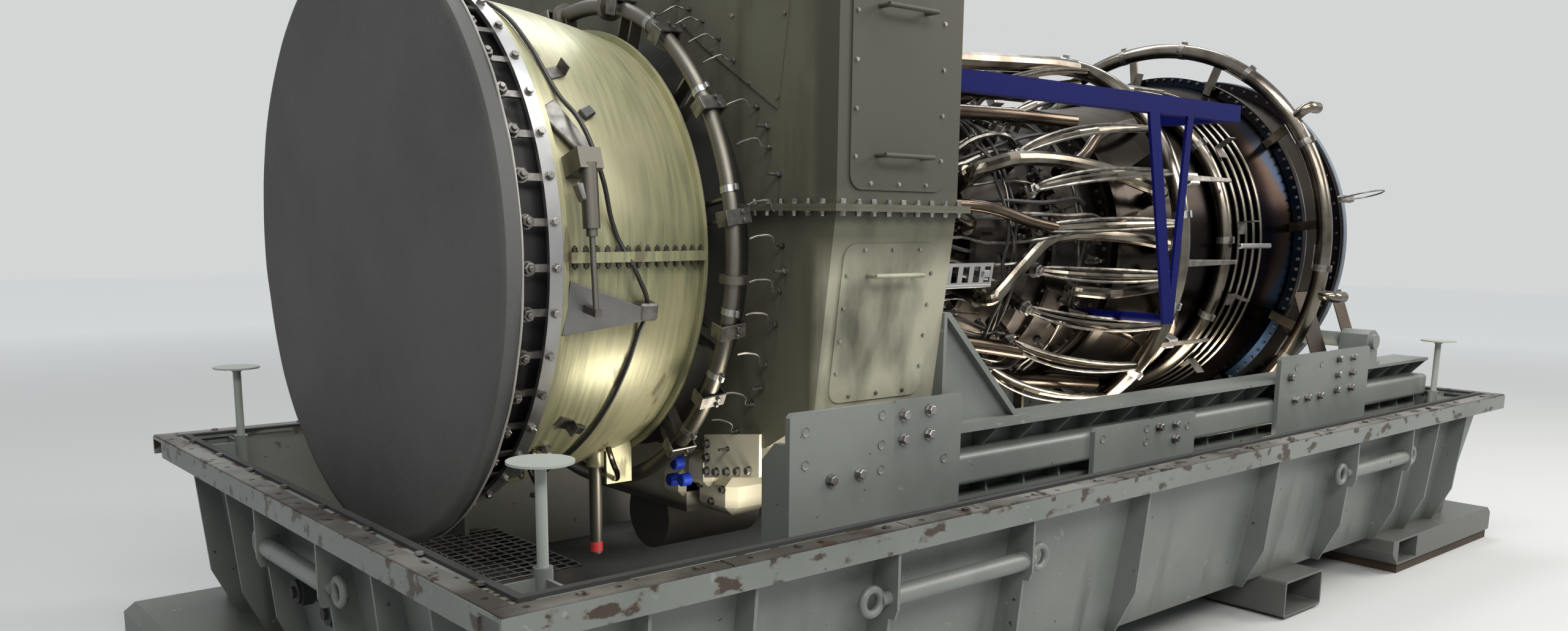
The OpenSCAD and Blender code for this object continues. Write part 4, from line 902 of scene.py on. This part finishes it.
def under_box():
    """Bolts on the cream strips, blue caps, the drain's red cap and castings under the box."""
    places = []
    for side in NEAR_FAR:
        for y, z in ((0.485, 0.79), (0.485, 0.835), (0.485, 0.88), (0.535, 0.795),
                     (0.59, 0.805), (0.645, 0.815), (0.7, 0.826)):
            places.append(facing((-1.5704, side * y, z), FRONT, y * 20))
    finished(spread(bolt(0.024, 0.016), places), "strip_bolts", "fastener")
    clear_selection()
    cap = cylinder(20, 0.021, 0.032, 0.016)
    inset_top(cap, 0.004, 0.003)
    twin = twin_of(cap)
    finished(spread(cap, [facing((-1.88, -0.3, 0.552), DOWN)]), "drain_cap", "red_plastic")
    places = [facing((-1.6, y, z), FRONT) for y, z in ((-0.36, 0.80), (-0.40, 0.75), (-0.335, 0.74))]
    finished(spread(twin, places), "blue_caps", "blue_plastic")
    places = [Matrix.Translation((-1.54, y, z)) for y, z in ((-0.38, 0.72), (-0.24, 0.66), (0.2, 0.68))]
    finished(spread(block(0.16, 0.12, 0.1, 0.02), places), "gearbox_pads", "cast_housing")
    places = [Matrix.Translation((-1.51, side * 0.43, 0.63)) for side in NEAR_FAR]
    finished(spread(block(0.17, 0.2, 0.13, 0.03), places), "pump_castings", "cast_housing")
    places = []
    for side in NEAR_FAR:
        for y, z in ((0.37, 0.72), (0.49, 0.72), (0.43, 0.67)):
            places.append(facing((-1.5104, side * y, z), FRONT, y))
    finished(spread(bolt(0.022, 0.014), places), "pump_bolts", "fastener")


# Tubes and cables

def fuel_lines():
    """Two braided lines beside each fuel tube, from its nozzle to the manifold."""
    run = FUEL_S - FUEL_TUBE_R - NOZZLE_S
    rise = FUEL_R - NOZZLE_R
    lines = []
    for i in range(NOZZLES):
        angle = (i + 0.5) * 360 / NOZZLES
        for shift, lift, radius in ((1.9, 0.004, 0.0075), (-1.7, 0.016, 0.006)):
            points = []
            for k in range(6):
                bend = math.radians(k * 90 / 5)
                s = NOZZLE_S + run * (1 - math.cos(bend))
                r = NOZZLE_R + lift + 0.03 * (k == 0) + rise * math.sin(bend)
                points.append(on_engine(s, r, angle + shift * (0.4 + 0.6 * math.sin(2 * bend))))
            lines.append((points, radius))
    bundle(lines, "fuel_lines", "braided", 1, 3)


def nozzle_nuts():
    """A nut on each fuel nozzle."""
    places = []
    for i in range(NOZZLES):
        angle = (i + 0.5) * 360 / NOZZLES
        places.append(facing(on_engine(NOZZLE_S, NOZZLE_R + 0.026, angle), outward(angle)))
    finished(spread(stud(0.05, 0.03), places), "nozzle_nuts", "fastener")


def core_pipes():
    """Bigger pipes that lie close round the core and the combustor, alike on both sides.

    Each has its radius and its route as stations, radii and angles.
    """
    routes = (
        (0.024, ((1.45, 0.62, 35), (1.6, 0.58, 33), (1.85, 0.56, 38), (2.1, 0.54, 44), (2.3, 0.5, 50))),
        (0.028, ((1.44, 0.52, 2), (1.7, 0.52, -3), (1.95, 0.5, -4), (2.15, 0.46, -8), (2.25, 0.43, -10))),
        (0.03, ((1.44, 0.66, -22), (1.62, 0.64, -26), (1.8, 0.6, -32), (2.0, 0.57, -36), (2.25, 0.6, -38),
                (2.5, 0.64, -40))),
        (0.028, ((1.44, 0.6, 58), (1.75, 0.6, 60), (2.1, 0.62, 57), (2.45, 0.66, 52), (2.8, 0.69, 48))),
        (0.034, ((1.44, 0.66, 72), (1.8, 0.64, 74), (2.3, 0.66, 70), (2.75, 0.7, 66), (3.02, 0.74, 66))),
        (0.022, ((2.0, 0.5, 20), (2.15, 0.58, 16), (2.4, 0.63, 9), (2.75, 0.66, 7), (3.0, 0.66, 12))),
        (0.03, ((2.65, 0.62, -24), (2.9, 0.66, -28), (3.2, 0.68, -34), (3.42, 0.67, -44))),
        (0.034, ((1.44, 0.6, -60), (1.8, 0.6, -64), (2.3, 0.6, -60), (2.8, 0.64, -62), (3.3, 0.68, -66))),
        (0.024, ((2.62, 0.6, 30), (2.8, 0.63, 36), (2.95, 0.66, 44), (3.2, 0.68, 50), (3.4, 0.66, 56))),
        (0.02, ((3.16, 0.66, -8), (3.26, 0.69, -16), (3.38, 0.7, -28), (3.42, 0.7, -42), (3.42, 0.7, -60))),
    )
    for side in NEAR_FAR:
        lines = []
        for radius, route in routes:
            lines.append(([on_engine(s, r, on_side(side, a)) for s, r, a in route], radius))
        bundle(lines, "core_pipes_" + word_of(side), "stained_pipe", 4, 5)


def small_tubes():
    """Many small tubes and wires that run along and round the core, with a slow wander of each."""
    dice = random.Random(7)
    steps, turns = 6, 12
    for side in NEAR_FAR:
        bright, dark = [], []
        for i in range(34):
            angle = -62 + i * 4.1 + dice.uniform(-1.5, 1.5)
            s = 1.45 + dice.uniform(0, 0.45)
            lift = dice.uniform(0.05, 0.13)
            end = s + dice.uniform(0.5, 1.1)
            points = []
            for k in range(steps + 1):
                here = min(s + (end - s) * k / steps, 2.9)
                dip = 0.35 if k in (0, steps) else 1.0
                angle += dice.uniform(-3.0, 3.0)
                r = core_case_radius(here) + 0.03 + lift * dip
                points.append(on_engine(here, r, on_side(side, angle)))
            (bright if i % 3 else dark).append((points, dice.choice((0.005, 0.006, 0.008, 0.0095))))
        for i, s in enumerate((1.52, 1.74, 1.76, 1.93, 2.07, 2.27, 2.30, 2.33, 2.68, 2.71)):
            case = core_radius(s) if s < CORE_REAR_S else (0.5 if s < 2.5 else 0.53)
            low = -70 + dice.uniform(0, 14)
            high = 70 - dice.uniform(0, 14)
            points = []
            for k in range(turns + 1):
                here = s + dice.uniform(-0.012, 0.012)
                r = case + 0.06 + dice.uniform(0, 0.025)
                points.append(on_engine(here, r, on_side(side, low + (high - low) * k / turns)))
            (dark if i % 2 else bright).append((points, 0.0065 if i % 2 else 0.005))
        bundle(bright, "small_tubes_" + word_of(side), "braided", 1, 3)
        bundle(dark, "wiring_" + word_of(side), "black_cable", 1, 3)


def case_cable():
    """The black cable clipped to the low pressure case, and its connectors on the actuator's plate."""
    close = 0.008
    route = (
        (0.245, 0.01, 78), (0.28, close, 62), (0.285, close, 48), (0.30, 0.012, 34), (0.315, 0.05, 26),
        (0.345, 0.05, 16), (0.40, close, 5), (0.455, 0.04, -4), (0.505, 0.03, -11), (0.50, close, -17),
        (0.48, close, -27), (0.455, close, -38), (0.42, close, -50), (0.38, close, -62),
    )
    lines = []
    for side in NEAR_FAR:
        lines.append(([on_engine(s, lp_radius(s) + lift, on_side(side, a)) for s, lift, a in route], 0.0065))
    bundle(lines, "case_cable", "black_cable", 2, 6)
    plug_s = 0.47
    copies_on_case(block(0.06, 0.05, 0.045, 0.006), "case_connectors", "lever_metal", plug_s,
                   lp_radius(plug_s), (-11.5,))


def rear_sensor():
    """The small sensor on the rear ring with its loop of wire."""
    body = block(0.12, 0.03, 0.03, 0.006)
    loop = tube([(0.11, 0, 0.02), (0.15, 0, 0.04), (0.17, 0.0, 0.1), (0.13, 0, 0.16), (0.06, 0, 0.17),
                 (0.0, 0, 0.12), (-0.01, 0, 0.03)], 0.0035, 1, 5)
    finished(spread(joined([body, loop]), [along_shaft(4.22, 0.93, 14)]), "rear_sensor", "lever_metal")


def tray_mesh():
    """The wire mesh that covers the tray in the base."""
    x0, x1, y0, y1, z = -1.968, -1.572, 0.292, 0.988, 0.297
    across, along = 8, 14
    wires = []
    for i in range(across + 1):
        x = x0 + i * (x1 - x0) / across
        wires.append(([(x, y0, z), (x, (y0 + y1) / 2, z), (x, y1, z)], 0.0036))
    z += 0.004
    for i in range(along + 1):
        y = y0 + i * (y1 - y0) / along
        wires.append(([(x0, y, z), ((x0 + x1) / 2, y, z), (x1, y, z)], 0.0028))
    bundle(wires, "tray_mesh", "ring_aluminium", 1, 1)


# Fabric

def cover():
    """The inlet's fabric cover: a disc stretched over the rim, with soft folds and a sewn edge cord."""
    radius, depth, rounding = 0.874, 0.05, 0.012
    flat_r = radius - rounding
    half_skirt = (depth - 0.006) / 2
    clear_selection()
    bpy.ops.mesh.primitive_circle_add(vertices=128, radius=flat_r, fill_type="NGON")
    cloth = bpy.context.object
    pick(cloth, lambda middle, normal: True)
    for step in (rounding, 0.03, 0.05, 0.07, 0.09, 0.1, 0.11, 0.12, 0.12):
        bpy.ops.mesh.inset(thickness=step)
    leave_editing()
    pick(cloth, lambda middle, normal: abs(middle.length - flat_r) < 0.004, "EDGE")
    bpy.ops.mesh.extrude_region_move(TRANSFORM_OT_translate={"value": (0, 0, -0.005)})
    bpy.ops.transform.resize(value=(radius / flat_r, radius / flat_r, 1))
    for half in range(2):
        bpy.ops.mesh.extrude_region_move(TRANSFORM_OT_translate={"value": (0, 0, -half_skirt)})
    leave_editing()
    folds = bpy.data.textures.new("folds", "CLOUDS")
    folds.noise_scale = 0.45
    wave = cloth.modifiers.new("folds", "DISPLACE")
    wave.texture = folds
    wave.strength = 0.012
    wave.mid_level = 0.5
    bpy.ops.object.modifier_apply(modifier="folds")
    turn = Matrix.Rotation(math.radians(-90), 4, "Y")
    cloth.matrix_world = Matrix.Translation((INLET_X - 0.001, 0, AXIS_Z)) @ turn
    apply_place()
    bpy.ops.object.shade_smooth_by_angle(angle=math.radians(50))
    finished(cloth, "cover_cloth", "cover_fabric")
    edge = []
    for i in range(97):
        edge.append(on_engine(depth - 0.003, radius + 0.001 + 0.0012 * math.sin(i * 1.7), i * 360 / 96))
    hem = bundle([(edge, 0.0032)], "cover_edging", "edge_cord", 1, 2)
    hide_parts("inlet_cover")


# Stage, light and camera

PALE = (0.80, 0.82, 0.82)


def seen_rays(tree):
    """A mask of the rays that see the background: from the camera, and off metal or through glass."""
    path = tree.nodes.new("ShaderNodeLightPath")
    shiny = maths(tree, "MAXIMUM", path.outputs["Is Glossy Ray"], path.outputs["Is Transmission Ray"])
    return maths(tree, "MAXIMUM", path.outputs["Is Camera Ray"], shiny)


def stage():
    """A plain pale floor that fades into the pale background, kept out of the object."""
    coat = Coat("stage", (0.48, 0.49, 0.49), 0.7)
    coat.set("Emission Color", PALE)
    reach = coat.node("VectorMath")
    reach.operation = "LENGTH"
    feed(coat.tree, coat.place, reach.inputs[0])
    fade = coat.mask(reach.outputs["Value"], 3.5, 15, 0, 0.5)
    coat.set("Emission Strength", coat.both(fade, seen_rays(coat.tree)))
    coat.keep()
    bpy.ops.mesh.primitive_plane_add(size=60, location=(0, 0, -0.001))
    floor = bpy.context.object
    floor.name = "floor"
    floor.data.materials.append(coat.material)


def area_light(name, place, aim, size, size_y, power, colour=(1, 1, 1)):
    data = bpy.data.lights.new(name, "AREA")
    data.shape = "RECTANGLE"
    data.size = size
    data.size_y = size_y
    data.energy = power
    data.color = colour
    lamp = bpy.data.objects.new(name, data)
    bpy.context.collection.objects.link(lamp)
    lamp.location = place
    lamp.rotation_euler = (Vector(aim) - Vector(place)).to_track_quat("-Z", "Y").to_euler()
    lamp.visible_camera = False


def lights():
    """A soft room with a pale background, lamps above and beside the object, and two low inside the base."""
    world = bpy.data.worlds.new("studio")
    bpy.context.scene.world = world
    world.use_nodes = True
    tree = world.node_tree
    room = tree.nodes["Background"]
    room.inputs["Color"].default_value = (0.78, 0.81, 0.82, 1)
    room.inputs["Strength"].default_value = 0.44
    wall = tree.nodes.new("ShaderNodeBackground")
    wall.inputs["Color"].default_value = (*PALE, 1)
    wall.inputs["Strength"].default_value = 0.82
    choose = tree.nodes.new("ShaderNodeMixShader")
    tree.links.new(seen_rays(tree), choose.inputs["Fac"])
    tree.links.new(room.outputs["Background"], choose.inputs[1])
    tree.links.new(wall.outputs["Background"], choose.inputs[2])
    tree.links.new(choose.outputs["Shader"], tree.nodes["World Output"].inputs["Surface"])
    area_light("key", (-3.2, -7.0, 6.2), (0, 0, 1.2), 7.0, 2.0, 510, (1, 0.97, 0.93))
    area_light("top_a", (-1.0, -2.2, 6.5), (0, 0, 1), 7.0, 0.4, 300)
    area_light("top_b", (1.5, 2.5, 6.5), (0, 0, 1), 7.0, 0.4, 260)
    area_light("rear", (6.0, -4.8, 5.6), (1, 0, 1.2), 3.6, 3.6, 370, (1, 0.94, 0.86))
    area_light("low", (-1.56, -0.92, 0.66), (-1.9, -0.5, 1.03), 0.3, 0.25, 5.2, (1, 0.94, 0.8))
    area_light("inside", (0.5, -0.62, 0.42), (0.6, -0.25, 1.3), 2.6, 0.25, 42, (1, 0.9, 0.76))


def camera():
    """The photograph's own viewing place, worked out from its horizon and the base's corners."""
    yaw, pitch, roll = math.radians(49.15), math.radians(10.18), math.radians(0.67)
    level = math.cos(pitch)
    look = Vector((math.cos(yaw) * level, math.sin(yaw) * level, -math.sin(pitch)))
    right = Vector((math.sin(yaw), -math.cos(yaw), 0))
    up = right.cross(look)
    side = math.cos(roll) * right + math.sin(roll) * up
    top = -math.sin(roll) * right + math.cos(roll) * up
    data = bpy.data.cameras.new("camera")
    data.sensor_fit = "HORIZONTAL"
    data.sensor_width = 36
    data.lens = 27.88
    data.shift_y = 0.078
    cam = bpy.data.objects.new("camera", data)
    bpy.context.collection.objects.link(cam)
    cam.matrix_world = Matrix.Translation((-3.9055, -3.5615, 1.594)) @ turned_to(side, top, -look)
    bpy.context.scene.camera = cam


def settings():
    view = bpy.context.scene.view_settings
    view.view_transform = "Standard"
    view.look = "None"


finishes()
dress_nodes()
engine_bolts()
split_flange_bolts()
box_flange_bolts()
panel_screws()
plate_bolts()
rim_bolts()
engine_brackets()
manifold_clamps()
bleed_saddles()
core_lugs()
low_fittings()
fuel_lines()
nozzle_nuts()
core_pipes()
small_tubes()
stator_levers()
perforated_bracket()
box_clips()
case_cable()
actuator_fittings()
under_box()
rear_sensor()
tray_mesh()
cover()
stage()
lights()
camera()
settings()
